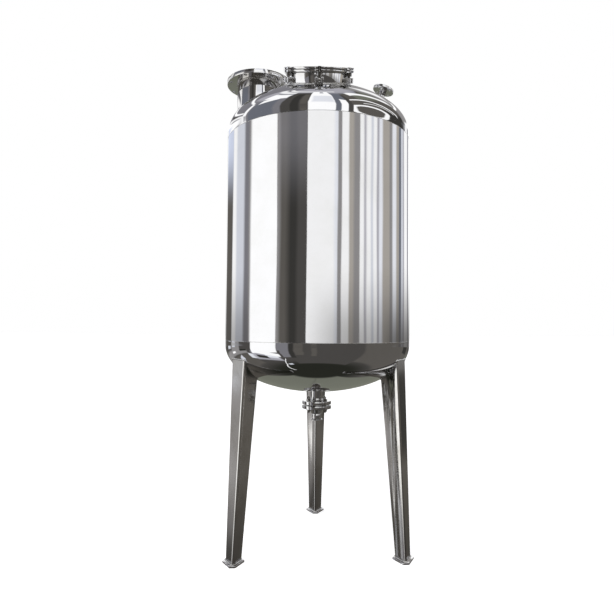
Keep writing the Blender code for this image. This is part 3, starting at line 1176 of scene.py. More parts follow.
@dataclass
class Manway(Nozzle):
    """The round manway on the shoulder: eared flange and cover, swing bolts and forked lugs.

    Attributes:
        height: Level of the flange's underside along the neck.
        thick: Thickness of the flange and of the cover.
        gasket: Thickness of the gasket.
        rim: Radius of both plates between their ears.
        circle: Radius of the bolt circle.
        bolts: How many swing bolts.
        first: Turn of the first one.
        ear_reach: How far the ears reach from the axis.
        ear_width: Their width.
        slot: Width of their slots.
        lug_low: Underside of the lugs along the neck.
        lug_high: Their upper side.
        lug_half: Half the width of a lug.
        bolt_radius: Radius of a swing bolt.
        pin_radius: Radius of the pin that it swings on.
    """

    height: float = 0.041
    thick: float = 0.010
    gasket: float = 0.002
    rim: float = 0.166
    circle: float = 0.171
    bolts: int = 6
    first: float = math.radians(-30)
    ear_reach: float = 0.186
    ear_width: float = 0.044
    slot: float = 0.014
    lug_low: float = -0.006
    lug_high: float = 0.018
    lug_half: float = 0.020
    bolt_radius: float = 0.006
    pin_radius: float = 0.005

    EAR_EASE = 0.004
    EAR_STEPS = 5
    SLOT_STEPS = 14
    RIM_STEPS = 24
    PLATE_EASE = 0.001
    LUG_EDGE = 0.0008
    LUG_CORNER = 0.004
    LUG_BEAD = 0.0022
    LUG_BEAD_OUT = 0.0008
    PIN_OVER = 0.002
    PIN_EASE = 0.0005
    SHANK_FOOT = 0.009
    SHANK_OVER = 0.001
    EYE = (0.0055, 0.0105, 0.006)
    NUT = Hexagon(0.022, 0.014)
    NUT_SEAT = 0.0166
    WASHER = (0.0062, 0.0135, 0.0025, 0.0023)
    CAP = ((0.0, 0.0), (0.0095, 0.0), (0.0095, 0.0006), (0.0075, 0.0013), (0.004, 0.0016), (0.0, 0.0017))
    CAP_LIFT = 0.0002

    def build(self) -> None:
        """Makes the neck, the plates, the lugs and the bolts."""
        self.neck()
        self.foot_weld()
        flange_top = self.height + self.thick
        bore = self.radius - self.wall
        steel = self.turned_steel("turned_manway_plate")
        flange = self.eared_plate("manway_flange", self.height, flange_top, steel)
        cutter = turned(self._plug(bore, -self.REACH, self.REACH), self.steps, closed=False)
        self.shop.drill(flange, [placed(cutter, self.place)])
        low = flange_top + GAP
        section = tube(bore, self.circle - self.slot / 2 - GAP, low, low + self.gasket)
        self.shop.piece(
            "manway_gasket_sheet",
            placed(turned(eased(section, SHEET_EASE, 2), self.steps), self.place),
            JOINTING,
            "gaskets",
            ("manway_gasket",),
        )
        cover_low = low + self.gasket + GAP
        self.eared_plate("manway_cover", cover_low, cover_low + self.thick, steel)
        self.collar_weld(self.height - self.COLLAR_OFF, self.COLLAR_BEAD)
        self.lugs()
        self.swing_bolts(cover_low + self.thick)

    def plate_outline(self) -> list[Point2]:
        """The plate's outline, with a slotted ear at each bolt.

        Returns:
            The points.
        """
        step = FULL_TURN / self.bolts
        edge, half, soft = self.ear_width / 2, self.slot / 2, self.EAR_EASE
        ear_turn = math.asin(edge / self.rim)
        quarter = math.pi / 2
        corner = [quarter * index / self.EAR_STEPS for index in range(self.EAR_STEPS + 1)]
        slot = [-quarter - math.pi * index / self.SLOT_STEPS for index in range(self.SLOT_STEPS + 1)]
        middle = self.ear_reach - soft
        ear = [(self.rim * math.cos(ear_turn), -edge)]
        ear += [(middle + soft * math.sin(a), -edge + soft - soft * math.cos(a)) for a in corner]
        ear.append((self.ear_reach, -half))
        ear += [(self.circle + half * math.cos(a), half * math.sin(a)) for a in slot]
        ear.append((self.ear_reach, half))
        ear += [(middle + soft * math.cos(a), edge - soft + soft * math.sin(a)) for a in corner]
        ear.append((self.rim * math.cos(ear_turn), edge))
        for share in range(1, self.RIM_STEPS):
            along = ear_turn + (step - 2 * ear_turn) * share / self.RIM_STEPS
            ear.append((self.rim * math.cos(along), self.rim * math.sin(along)))
        points: list[Point2] = []
        for turn in spread(self.bolts, self.first):
            spin = Matrix.Rotation(turn, 2)
            points += [tuple(spin @ Vector(point)) for point in ear]
        return points

    def eared_plate(self, node: str, low: float, high: float, steel: SteelFinish) -> bpy.types.Object:
        """The flange or the cover, with its rims eased.

        Args:
            node: The CAD node that it stands for.
            low: Its underside.
            high: Its upper side.
            steel: Its finish.

        Returns:
            The piece.
        """
        mesh = bmesh.new()
        face = mesh.faces.new([mesh.verts.new((x, y, low)) for x, y in self.plate_outline()])
        raised = bmesh.ops.extrude_face_region(mesh, geom=[face])["geom"]
        lifted = [item for item in raised if isinstance(item, bmesh.types.BMVert)]
        bmesh.ops.translate(mesh, verts=lifted, vec=(0, 0, high - low))
        bmesh.ops.recalc_face_normals(mesh, faces=mesh.faces)
        rims = [edge for edge in mesh.edges if abs(edge.verts[0].co.z - edge.verts[1].co.z) < TINY]
        bmesh.ops.bevel(
            mesh,
            geom=rims,
            offset=self.PLATE_EASE,
            segments=2,
            profile=0.5,
            affect="EDGES",
            material=-1,
        )
        return self.shop.piece(f"{node}_plate", placed(mesh, self.place), steel, "fittings", (node,))

    def lugs(self) -> None:
        """The forked lugs, with their welds and the pins of the swing bolts."""
        for index in range(self.bolts):
            node = f"manway_lug_{index + 1}"
            self.shop.dressed_copy(node, f"{node}_fork", LUG_STEEL, "fittings", self.LUG_EDGE)
        beads, pins = [], []
        middle = (self.lug_low + self.lug_high) / 2
        root, half, over = self.radius + self.LUG_BEAD_OUT, self.lug_half, self.lug_half + self.PIN_OVER
        outline = eased(tube(-half, half, self.lug_low, self.lug_high), self.LUG_CORNER, 3)
        lie = Matrix.Translation((self.circle, 0, middle)) @ Matrix.Rotation(math.pi / 2, 4, "X")
        for turn in spread(self.bolts, self.first):
            stand = self.place @ Matrix.Rotation(turn, 4, "Z")
            path = [stand @ Vector((math.sqrt(root**2 - y**2), y, z)) for y, z in outline]
            beads.append(beaded("lug_path", path, self.LUG_BEAD, 2, 0.0, self.RIPPLE_POINTS))
            pin = turned(eased(self._plug(self.pin_radius, -over, over), self.PIN_EASE, 2), 20)
            pins.append(placed(pin, stand @ lie))
        self.shop.piece("manway_lug_welds", joined(beads), WELD_STEEL, "fittings")
        self.shop.piece("manway_lug_pins", joined(pins), BOLT_STEEL, "fittings")

    def swing_bolts(self, top: float) -> None:
        """Eye bolts that swing up into the ears, with a nut under the flange and a low head above.

        Args:
            top: Upper side of the cover.
        """
        parts = []
        middle = (self.lug_low + self.lug_high) / 2
        inner, outer, reach = self.EYE
        eye = eased(tube(inner, outer, -reach, reach), 0.001, 2)
        hole, rim, drop, thick = self.WASHER
        cap = [(across, top + self.CAP_LIFT + up) for across, up in self.CAP]
        lie = Matrix.Translation((0, 0, middle)) @ Matrix.Rotation(math.pi / 2, 4, "X")
        under = Matrix.Translation((0, 0, self.height - self.NUT_SEAT))
        for turn in spread(self.bolts, self.first):
            stand = self.place @ Matrix.Rotation(turn, 4, "Z") @ Matrix.Translation((self.circle, 0, 0))
            parts.append(placed(turned(eye, 24), stand @ lie))
            shank = Stud(self.bolt_radius, middle + self.SHANK_FOOT, top + self.SHANK_OVER)
            parts.append(placed(shank.mesh(), stand))
            parts.append(placed(self.NUT.mesh(), stand @ under))
            parts.append(placed(washer(hole, rim, self.height - drop, thick), stand))
            parts.append(placed(turned(cap, 24, closed=False), stand))
        self.shop.piece("manway_swing_bolts", joined(parts), BOLT_STEEL, "fittings")


@dataclass
class Outlet(Nozzle):
    """The bottom outlet: a bolted pair of flanges over a stub pipe with a ferrule.

    Attributes:
        flange_top: Level of the upper flange's top.
        thick: Thickness of each flange without its raised face.
        rim: Their outside radius.
        face: Radius of the raised faces.
        raised: Height of the raised faces.
        gasket: Thickness of the gasket.
        circle: Radius of the bolt circle.
        bolts: How many studs.
        hole: Radius of a bolt hole.
        hub_top: Radius of the lower flange's hub at the flange.
        hub_low: Radius of the hub at the pipe.
        hub_height: Height of the hub.
        stub: Radius of the pipe below.
        stub_end: Level of that pipe's lower end.
        ferrule: Radius of the ferrule.
        ferrule_height: Its height.
    """

    flange_top: float = 0.766
    thick: float = 0.018
    rim: float = 0.079
    face: float = 0.053
    raised: float = 0.002
    gasket: float = 0.0015
    circle: float = 0.0625
    bolts: int = 4
    hole: float = 0.007
    hub_top: float = 0.040
    hub_low: float = 0.0285
    hub_height: float = 0.028
    stub: float = 0.026
    stub_end: float = 0.668
    ferrule: float = 0.032
    ferrule_height: float = 0.008

    STUD = 0.006
    STUD_OVER = 0.018
    NUT = Hexagon(0.019, 0.010)
    WASHER = (0.0062, 0.0115, 0.002)
    SEAT = 0.0002
    NUT_GAP = 0.0001
    UPPER_EASE = 0.001
    STUB_EASE = 0.0006
    STUB_STEPS = 64
    STUB_BEAD = 0.0016
    STUB_BEAD_POINTS = 96
    STUB_RIPPLE = 0.08

    def build(self) -> None:
        """Makes the neck, both flanges, the stub and the studs."""
        bore = self.radius - self.wall
        face_low = self.flange_top - self.thick - self.raised
        self.bottom_neck(bore, face_low + self.raised)
        steel = self.turned_steel("turned_outlet_flange")
        edge = face_low + self.raised
        ring = self.radius + GAP
        section = [
            (ring, self.flange_top),
            (ring, face_low),
            (self.face, face_low),
            (self.face, edge),
            (self.rim, edge),
            (self.rim, self.flange_top),
        ]
        upper = self.flange("outlet_flange", section, self.UPPER_EASE, steel)
        gasket_top = face_low - GAP
        gasket_low = gasket_top - self.gasket
        sheet = turned(eased(tube(bore, self.face, gasket_low, gasket_top), SHEET_EASE, 2), self.steps)
        self.shop.piece("outlet_gasket_sheet", sheet, JOINTING, "gaskets", ("outlet_gasket",))
        lower, plate_low = self.companion(gasket_low - GAP, steel)
        holes = (self.hole, self.circle, self.bolts)
        self.shop.drill(upper, self.bolt_cutters(*holes, edge, self.flange_top))
        self.shop.drill(lower, self.bolt_cutters(*holes, plate_low, plate_low + self.thick))
        self.stub_pipe(plate_low - self.hub_height - GAP)
        self.studs(plate_low)
        self.collar_weld(self.flange_top + self.COLLAR_OFF, self.COLLAR_BEAD)

    def bottom_neck(self, bore: float, low: float) -> None:
        """The neck down from the bottom head, and its hole.

        Args:
            bore: Inside radius.
            low: Its lower end.
        """
        section = tube(bore, self.radius, low, self.end.seam - self.REACH)
        mesh = turned(eased(section, self.PIPE_EASE, 2), self.steps)
        pipe = self.shop.piece("outlet_neck_pipe", mesh, FITTING_STEEL, "fittings", ("outlet_neck",))
        self.shop.drill(pipe, [self.end.dome(-self.end.plate, self.REACH * 0.2)])
        reach = self._plug(self.radius + GAP, self.flange_top, self.end.seam - self.REACH)
        self.shop.drill(self.head, [turned(reach, self.steps, closed=False)])
        self.foot_weld(Matrix.Translation((0, 0, self.end.level(0))))

    def companion(self, top: float, steel: SteelFinish) -> tuple[bpy.types.Object, float]:
        """The lower flange, with its hub.

        Args:
            top: Its raised face.
            steel: Its finish.

        Returns:
            The piece, and the level of its plate's underside.
        """
        bore = self.stub - self.wall
        plate_top = top - self.raised
        plate_low = plate_top - self.thick
        hub_low = plate_low - self.hub_height
        section = [
            (bore, hub_low),
            (self.hub_low, hub_low),
            (self.hub_top, plate_low),
            (self.rim, plate_low),
            (self.rim, plate_top),
            (self.face, plate_top),
            (self.face, top),
            (bore, top),
        ]
        return self.flange("outlet_companion_flange", section, self.FLANGE_EASE, steel), plate_low

    def stub_pipe(self, top: float) -> None:
        """The short pipe below the flanges and the ferrule at its end.

        Args:
            top: Upper end of the pipe.
        """
        bore = self.stub - self.wall
        section = tube(bore, self.stub, self.stub_end, top)
        pipe = turned(eased(section, self.STUB_EASE, 2), self.STUB_STEPS)
        self.shop.piece("outlet_stub_pipe", pipe, FITTING_STEEL, "fittings", ("outlet_stub",))
        end = self.stub_end - GAP
        slope = self.ferrule_height * 0.4
        section = [
            (bore, end - self.ferrule_height),
            (self.ferrule, end - self.ferrule_height),
            (self.ferrule, end - slope),
            (self.stub + 0.001, end),
            (bore, end),
        ]
        self.shop.piece(
            "outlet_ferrule_ring",
            turned(eased(section, self.STUB_EASE, 2), self.STUB_STEPS),
            FITTING_STEEL,
            "fittings",
            ("outlet_ferrule",),
        )
        self.stub_weld(top + GAP / 2)

    def stub_weld(self, level: float) -> None:
        """The small bead between the hub and the pipe below it.

        Args:
            level: Its height.
        """
        across = self.stub + self.STUB_BEAD * 0.2
        path = [on_circle(across, turn, level) for turn in spread(self.STUB_BEAD_POINTS, 0.0)]
        bead = beaded("stub_path", path, self.STUB_BEAD, 2, self.STUB_RIPPLE, self.RIPPLE_POINTS)
        self.shop.piece("outlet_stub_weld", bead, WELD_STEEL, "fittings")

    def studs(self, plate_low: float) -> None:
        """The studs of the pair of flanges, with a nut and a washer at each end.

        Args:
            plate_low: Underside of the lower flange.
        """
        parts = []
        inner, outer, thick = self.WASHER
        for turn in spread(self.bolts, math.pi / self.bolts):
            at = Matrix.Translation(on_circle(self.circle, turn)) @ Matrix.Rotation(turn, 4, "Z")
            rod = Stud(self.STUD, plate_low - self.STUD_OVER, self.flange_top + self.STUD_OVER)
            parts.append(placed(rod.mesh(), at))
            for level, way in ((self.flange_top, 1), (plate_low, -1)):
                base = level + way * self.SEAT
                disc = washer(inner, outer, base if way > 0 else base - thick, thick)
                parts.append(placed(disc, at))
                seat = base + way * (thick + self.NUT_GAP) - (self.NUT.height if way < 0 else 0.0)
                parts.append(placed(self.NUT.mesh(), at @ Matrix.Translation((0, 0, seat))))
        self.shop.piece("outlet_stud_bolts", joined(parts), BOLT_STEEL, "fittings")


@dataclass
class Legs:
    """Three tapered triangular legs, welded to the bottom head and to their foot plates.

    Attributes:
        shop: What makes the pieces.
        end: The head that the legs are welded to.
        stands: Each leg's compass angle from the front in degrees, and how far its foot reaches.
        top_reach: Distance of a leg from the centre line at top_level.
        top_level: Where the leg has the sizes at its top.
        foot_side: Side of its triangle at the floor.
        top_side: Side of its triangle at top_level.
        bend: Radius of its bent edges.
        plate: Thickness of the foot plates.
    """

    shop: Workshop
    end: DishedEnd
    stands: dict[str, Point2] = field(
        default_factory=lambda: {"left": (-57.5, 0.492), "right": (62.5, 0.492), "back": (179.0, 0.487)}
    )
    top_reach: float = 0.437
    top_level: float = 1.0
    foot_side: float = 0.0885
    top_side: float = 0.145
    bend: float = 0.008
    plate: float = 0.010

    LEG_STEEL = SteelFinish(
        "bright_leg_plate",
        Grain.MIRROR,
        colour=(0.70, 0.69, 0.67),
        stain=(0.54, 0.52, 0.48),
        roughness=(0.12, 0.20),
        wave=0.0006,
        scratch=0.00002,
        # Painted shade: the legs' colour is halved at the floor.
        fade=0.5,
    )
    BEND_POINTS = 9
    WELD_OUT = 0.0008
    WELD_STEP = 0.0022
    TOP_BEAD = 0.0038
    TOP_LIFT = 0.0005
    FOOT_BEAD = 0.0028
    FOOT_LIFT = 0.001
    FOOT_EDGE = 0.001
    SEARCH = (0.7, 1.1)

    def build(self) -> None:
        """Dresses the legs and plates and adds their welds."""
        for name, (compass, foot_reach) in self.stands.items():
            leg, foot = f"leg_{name}", f"foot_plate_{name}"
            self.shop.dressed_copy(leg, f"{leg}_tube", self.LEG_STEEL, "leg_plate", 0.0)
            self.shop.dressed_copy(foot, f"{foot}_pad", FITTING_STEEL, "foot_plates", self.FOOT_EDGE)
            heading = math.radians(compass - 90)
            self.weld(name, Matrix.Rotation(heading, 4, "Z"), foot_reach)

    def section(self, foot_reach: float, level: float, grow: float) -> list[Point2]:
        """The outline of a leg at a level, as seen from above in its own place.

        Args:
            foot_reach: Distance of its foot from the centre line.
            level: Height above the floor.
            grow: How far outside the leg's own surface.

        Returns:
            The points.
        """
        share = level / self.top_level
        side = self.foot_side + (self.top_side - self.foot_side) * share
        reach = foot_reach + (self.top_reach - foot_reach) * share
        corner = side / math.sqrt(3) - 2 * self.bend
        points: list[Point2] = []
        for heading in (60, 180, 300):
            middle = math.radians(heading)
            for index in range(self.BEND_POINTS):
                turn = middle + math.radians(-60 + 120 * index / (self.BEND_POINTS - 1))
                across = reach + corner * math.cos(middle) + (self.bend + grow) * math.cos(turn)
                points.append((across, corner * math.sin(middle) + (self.bend + grow) * math.sin(turn)))
        return points

    def weld(self, name: str, place: Matrix, foot_reach: float) -> None:
        """The beads at the top and the foot of one leg.

        Args:
            name: Which leg.
            place: Turns the leg's own place to its compass angle.
            foot_reach: Distance of its foot from the centre line.
        """
        top = self.densified(self.top_path(place, foot_reach), self.WELD_STEP)
        outline = self.section(foot_reach, self.plate, self.WELD_OUT)
        corners = [place @ Vector((x, y, self.plate + self.FOOT_LIFT)) for x, y in outline]
        foot = self.densified(corners, self.WELD_STEP)
        ripple, pitch = Nozzle.RIPPLE, Nozzle.RIPPLE_POINTS
        upper = beaded(f"leg_{name}_top_path", top, self.TOP_BEAD, 3, ripple, pitch)
        lower = beaded(f"leg_{name}_foot_path", foot, self.FOOT_BEAD, 2, ripple, pitch)
        self.shop.piece(f"leg_{name}_top_weld", upper, WELD_STEEL, "leg_plate")
        self.shop.piece(f"leg_{name}_foot_weld", lower, WELD_STEEL, "leg_plate")

    def top_path(self, place: Matrix, foot_reach: float) -> list[Vector]:
        """Where the leg's surface meets the bottom head.

        Args:
            place: Turns the leg's own place to its compass angle.
            foot_reach: Distance of its foot from the centre line.

        Returns:
            A closed loop of points.
        """
        path = []
        for index in range(3 * self.BEND_POINTS):
            low, high = self.SEARCH
            for _ in range(HALVINGS):
                middle = (low + high) / 2
                x, y = self.section(foot_reach, middle, self.WELD_OUT)[index]
                below = middle < self.end.level(math.hypot(x, y), self.TOP_LIFT)
                low, high = (middle, high) if below else (low, middle)
            x, y = self.section(foot_reach, low, self.WELD_OUT)[index]
            path.append(place @ Vector((x, y, low)))
        return path

    @staticmethod
    def densified(path: Sequence[Vector], step: float) -> list[Vector]:
        """A closed loop with a point at least every step.

        Args:
            path: The loop.
            step: The longest way from one point to the next.

        Returns:
            The loop with the added points.
        """
        dense = []
        for first, second in zip(path, [*path[1:], path[0]]):
            pieces = max(1, math.ceil((second - first).length / step))
            dense += [first.lerp(second, index / pieces) for index in range(pieces)]
        return dense


@dataclass(frozen=True)
class Screen:
    """A soft-edged panel of the studio, seen only by the polished steel.

    Attributes:
        start: Where it begins, in degrees round from the camera's side, right positive.
        end: Where it ends.
        low: Its lower edge, in degrees above the horizon.
        high: Its upper edge.
        light: Its tone.
        feather: Width of its soft edges in degrees.
        peak: Where a sloping or bowed screen has these two heights.
        slope: How fast both edges climb towards the right.
        bend: How fast both edges fall away from the peak on either side.
    """

    start: float
    end: float
    low: float
    high: float
    light: Colour
    feather: float = 1.0
    peak: float = 0.0
    slope: float = 0.0
    bend: float = 0.0


@dataclass(frozen=True)
class Band:
    """One upright band of the ring that the shell mirrors.

    Attributes:
        start: Where it begins, in degrees round from the camera's side.
        light: Its tone.
        soft: Half the width of its soft start.
    """

    start: float
    light: Colour
    soft: float = 0.5


WHITE = tone(254, 254, 254)
PALE = tone(240, 240, 240)
CLOUD = tone(224, 226, 232)
SILVER = tone(204, 207, 215)
MIST = tone(166, 165, 172)
TAN = tone(164, 159, 152)
GREY = tone(138, 136, 136)
ASH = tone(120, 119, 124)
OLIVE = tone(108, 110, 100)
SLATE = tone(104, 107, 116)
DUSK = tone(88, 85, 81)
COAL = tone(72, 70, 68)
NIGHT = tone(54, 53, 51)
SOOT = tone(38, 39, 34)


@dataclass
class Studio:
    """Floor, camera and the surroundings that the steel mirrors.

    Attributes:
        steel: Share of light that the steel gives back, by which the tones are lifted.
        floor_reach: Half the width of the floor.
        ring_low: Lower edge of the bands that the shell mirrors, in degrees above the horizon.
        ring_high: Their upper edge straight ahead.
        ring_dip: How far that edge dips behind the tank.
        ramp_bands: How many bands one colour ramp holds.
        bands: The upright bands of the ring, in order.
        above: Screens over the ring, mirrored by the top head.
        below: Screens under the ring, mirrored by the bottom head and the legs.
    """

    steel: float = 0.70
    floor_reach: float = 60.0
    ring_low: float = -3.4
    ring_high: float = 23.6
    ring_dip: float = 3.3
    ramp_bands: int = 14
    bands: tuple[Band, ...] = (
        Band(-180, PALE), Band(-172, GREY, 1.5), Band(-166, PALE, 1.5), Band(-158, DUSK, 2.0),
        Band(-131, PALE, 1.5), Band(-120, SILVER, 2.5), Band(-110, SILVER), Band(-102.5, ASH, 2.0),
        Band(-93.5, GREY, 1.5), Band(-90.5, WHITE, 1.8), Band(-50.6, GREY, 1.0), Band(-48.5, DUSK, 3.0),
        Band(-37.5, NIGHT, 3.5), Band(-26.5, COAL, 2.0), Band(-14.4, PALE, 0.5), Band(17.5, CLOUD, 1.5),
        Band(21.4, GREY, 0.7), Band(26.0, PALE, 0.6), Band(35.4, TAN, 1.0), Band(41.5, GREY, 1.5),
        Band(49.3, PALE, 0.6), Band(55.2, MIST, 1.2), Band(58.3, PALE, 1.5), Band(64.6, SILVER, 1.0),
        Band(67.8, PALE, 1.0), Band(73.2, MIST, 1.0), Band(76.6, CLOUD, 1.0), Band(82.5, TAN, 1.5),
        Band(95.5, GREY, 1.5), Band(101.0, CLOUD, 1.5), Band(109.0, TAN, 1.5), Band(115.0, SLATE, 1.0),
        Band(120.5, SILVER, 1.0), Band(126.0, MIST, 1.0), Band(130.0, PALE, 1.0), Band(143.0, MIST, 2.0),
        Band(148.0, COAL, 1.0), Band(151.0, WHITE, 1.0), Band(162.0, SILVER, 2.0), Band(172.0, PALE, 2.0),
    )
    above: tuple[Screen, ...] = (
        Screen(-181, -97, 20, 82, ASH, 4),
        Screen(-125, -97, 49, 68, MIST, 6),
        Screen(-99, -46, 18, 48, SLATE, 3),
        Screen(-60, -46, 18, 52, ASH, 6),
        Screen(-100, -51, 51, 63, WHITE, 3.5),
        Screen(-93, -62, 45.5, 54, WHITE, 2, peak=-75, slope=0.3),
        Screen(-158, -108, 44.8, 47.4, WHITE, 1.6, peak=-134, bend=0.004),
        Screen(-110.5, -103, 23, 42, WHITE, 2.5),
        Screen(-171, -112, 29.0, 31.2, WHITE, 1.3, peak=-142, bend=0.002),
        Screen(-154, -126, 26.3, 28.2, COAL, 1.0, peak=-140, bend=0.002),
        Screen(-158, -108, 23.6, 26.0, PALE, 1.3, peak=-132, bend=0.003),
        Screen(-181, -107, 19.0, 22.4, WHITE, 1.3),
        Screen(-49, -14, 18, 68, COAL, 3),
        Screen(-37, -26, 18, 62, NIGHT, 3),
        Screen(-24, -16, 25, 60, DUSK, 3),
        Screen(-14.4, 19, 18, 73, WHITE, 1.4),
        Screen(-10, 18, 29, 54, CLOUD, 5),
        Screen(1, 9, 66, 74, MIST, 2.5),
        Screen(19, 41, 18, 62, SLATE, 2),
        Screen(25.5, 34.5, 18, 40, WHITE, 1.4, peak=30, slope=-0.25),
        Screen(34.5, 41, 18, 60, COAL, 1.5),
        Screen(40, 128, 18, 67, DUSK, 2),
        Screen(60, 126, 50, 64, OLIVE, 5),
        Screen(88, 132, 19, 28, NIGHT, 4),
        Screen(41, 99, 26.9, 29.8, WHITE, 0.9, peak=64, bend=0.0068),
        Screen(58, 105, 36.2, 37.8, PALE, 0.8, peak=72, bend=0.010),
        Screen(41, 114, 44.6, 48.0, WHITE, 1.0, peak=64, bend=0.0085),
        Screen(56, 138, 62.5, 70.0, WHITE, 3.0, peak=74, bend=0.0078),
        Screen(129, 176, 22, 72, GREY, 5),
        Screen(142, 158, 42, 58, PALE, 6),
        Screen(128, 153, 35.4, 38.0, WHITE, 1.2),
        Screen(136, 168, 19, 24, PALE, 2.0),
        Screen(-122, -52, 66, 71, PALE, 3.0),
        Screen(-112, 44, 73.0, 75.5, PALE, 1.5),
    )
    below: tuple[Screen, ...] = (
        Screen(-181, -150, -66, -8, OLIVE, 6),
        Screen(150, 181, -66, -8, OLIVE, 6),
        Screen(-152, -89, -21, -1, COAL, 3),
        Screen(-150, -93, -48, -21, DUSK, 5),
        Screen(-165, -98, -19, -10, GREY, 4),
        Screen(-132, -111, -19, -3, GREY, 2.5),
        Screen(-144, -134, -7, -3, SILVER, 2),
        Screen(-129, -121, -5, -3, SILVER, 1.5),
        Screen(-132, -124, -15.5, -12.5, WHITE, 1.5),
        Screen(-112, -98, -13, -9, SOOT, 2),
        Screen(-124, -115, -31, -23, SILVER, 2, peak=-118, slope=0.5),
        Screen(-98, -88, -35, -22, CLOUD, 2, peak=-92, slope=-0.5),
        Screen(-91, -54, -44, -20, MIST, 5, peak=-73, slope=-0.35),
        Screen(-72, -55, -38, -22, CLOUD, 3, peak=-64, slope=-0.4),
        Screen(-86, -70, -37, -28, NIGHT, 2, peak=-78, slope=-0.4),
        Screen(-89.5, -51, -20.5, 6, WHITE, 1.4),
        Screen(-87, -51, -26, -15, WHITE, 2.0, peak=-73, slope=-0.5),
        Screen(-51, -36, -38, 0, ASH, 3),
        Screen(-51, -47.5, -38, -13, COAL, 1.2),
        Screen(-36, 58, -62, 0, COAL, 4),
        Screen(-36, -30, -40, -3, NIGHT, 2),
        Screen(-29, -18, -30, -4, DUSK, 3),
        Screen(-8, -2, -34, -5, DUSK, 3),
        Screen(58, 148, -50, 0, DUSK, 6),
        Screen(129, 143, -12, -3, NIGHT, 2),
        Screen(-62, -47, -53.4, -51.8, WHITE, 0.8, peak=-55, slope=1.15),
        Screen(-96, -61, -68.2, -66.8, PALE, 0.8, peak=-77, slope=0.42),
        Screen(-58, -49, -63.5, -59.5, SILVER, 1.5),
    )

    FLOOR_TONE = (0.8, 0.8, 0.8)
    FLOOR_GLOW = 0.62
    LAMP_SIZE = 6.0
    LAMP_POWER = 260.0
    LAMP_PLACE = (-2.0, -3.0, 6.0)
    LAMP_AIM = (0.0, 0.0, 1.2)
    GROUND_FADE = (-68.0, -46.0)
    CEILING_FADE = (62.0, 74.0)
    HORIZON = (-2.6, -2.0)
    WARP_SCALE = 3.5
    WARP_RANGE = (0.25, 0.75)
    WARP = 0.7
    EDGE = 0.4
    DIP_RATE = math.radians(0.92)
    RAMP_BEFORE = 1.0
    RAMP_AFTER = 12.0
    RAMP_JOINT = 0.1
    SPAN_SOFT = 1.0
    NEAR_GROUND = (-2.5, 7.0)
    LEFT_SHADE = (-94.0, -90.0, 0.6, 0.0)
    RIGHT_SHADE = (-30.0, 36.0, 0.0, 0.6)
    FAR_RIGHT_SHADE = (70.0, 110.0, 0.0, 0.3)
    TOP_GLOW = (12.0, 21.0, 0.0, 0.3)
    GLOW_SPAN = (-50, -15)
    SKY = (12.0, 19.0, 0.0, 0.85)
    SKY_SPAN = (-158, -131)
    SKY_LIGHT = tone(208, 216, 236)

    def build(self) -> None:
        """Makes the world, the floor, the lamp and the camera."""
        self.world()
        self.floor()
        self.lamp()
        Camera().build()

    def world(self) -> None:
        """The surroundings: white to the camera, a ring of screens to the steel."""
        world = bpy.data.worlds.new("studio")
        bpy.context.scene.world = world
        world.use_nodes = True
        desk = NodeDesk(world.node_tree)
        way = desk.add("TexCoord").outputs["Generated"]
        parts = desk.add("SeparateXYZ", Vector=way)
        x, y, z = (parts.outputs[index] for index in range(3))
        round_z = desk.sums("ARCTAN2", x, desk.sums("MULTIPLY", y, -1.0))
        straight = desk.sums("MULTIPLY", round_z, math.degrees(1))
        rise = desk.sums("MULTIPLY", desk.sums("ARCSINE", z), math.degrees(1))
        ripple = desk.add("TexNoise", Vector=way, Scale=self.WARP_SCALE, Detail=1.0)
        warp = desk.rescale(ripple.outputs[0], *self.WARP_RANGE, -self.WARP, self.WARP)
        turn = desk.sums("ADD", straight, warp)
        light = self.backdrop(desk, rise)
        for screen in self.above + self.below:
            light = desk.mix(self.mask(desk, turn, rise, screen), light, (*screen.light, 1))
        light = desk.mix(self.ring_mask(desk, straight, rise), light, self.ring(desk, turn, rise))
        seen = desk.add("LightPath").outputs["Is Camera Ray"]
        mirrored = desk.add("Background", Color=light, Strength=1.0 / self.steel)
        plain = desk.add("Background", Color=(1, 1, 1, 1), Strength=1.0)
        chosen = desk.add("MixShader")
        desk.plug(chosen, 0, seen)
        desk.plug(chosen, 1, mirrored.outputs[0])
        desk.plug(chosen, 2, plain.outputs[0])
        desk.add("OutputWorld", Surface=chosen.outputs[0])

    def backdrop(self, desk: NodeDesk, rise: bpy.types.NodeSocket) -> bpy.types.NodeSocket:
        """Ceiling and ground tones behind the screens.

        Args:
            desk: Where the nodes go.
            rise: Degrees above the horizon.

        Returns:
            The colour.
        """
        ground = desk.mix(desk.rescale(rise, *self.GROUND_FADE, 0.0, 1.0), (*SOOT, 1), (*COAL, 1))
        ceiling = desk.mix(desk.rescale(rise, *self.CEILING_FADE, 0.0, 1.0), (*SLATE, 1), (*MIST, 1))
        return desk.mix(desk.rescale(rise, *self.HORIZON, 0.0, 1.0), ground, ceiling)

    def ring_mask(
        self, desk: NodeDesk, turn: bpy.types.NodeSocket, rise: bpy.types.NodeSocket
    ) -> bpy.types.NodeSocket:
        """1 at the heights that the upright shell mirrors, which dip towards the tank's sides.

        Args:
            desk: Where the nodes go.
            turn: Degrees round from the camera's side.
            rise: Degrees above the horizon.

        Returns:
            The mask.
        """
        round_off = desk.sums("COSINE", desk.sums("MULTIPLY", turn, self.DIP_RATE))
        dip = desk.sums("MULTIPLY", desk.sums("SUBTRACT", 1.0, round_off), self.ring_dip / 2)
        level = desk.sums("ADD", rise, dip)
        low = desk.rescale(rise, self.ring_low - self.EDGE, self.ring_low + self.EDGE, 0.0, 1.0)
        high = desk.rescale(level, self.ring_high - self.EDGE, self.ring_high + self.EDGE, 1.0, 0.0)
        return desk.sums("MULTIPLY", low, high)

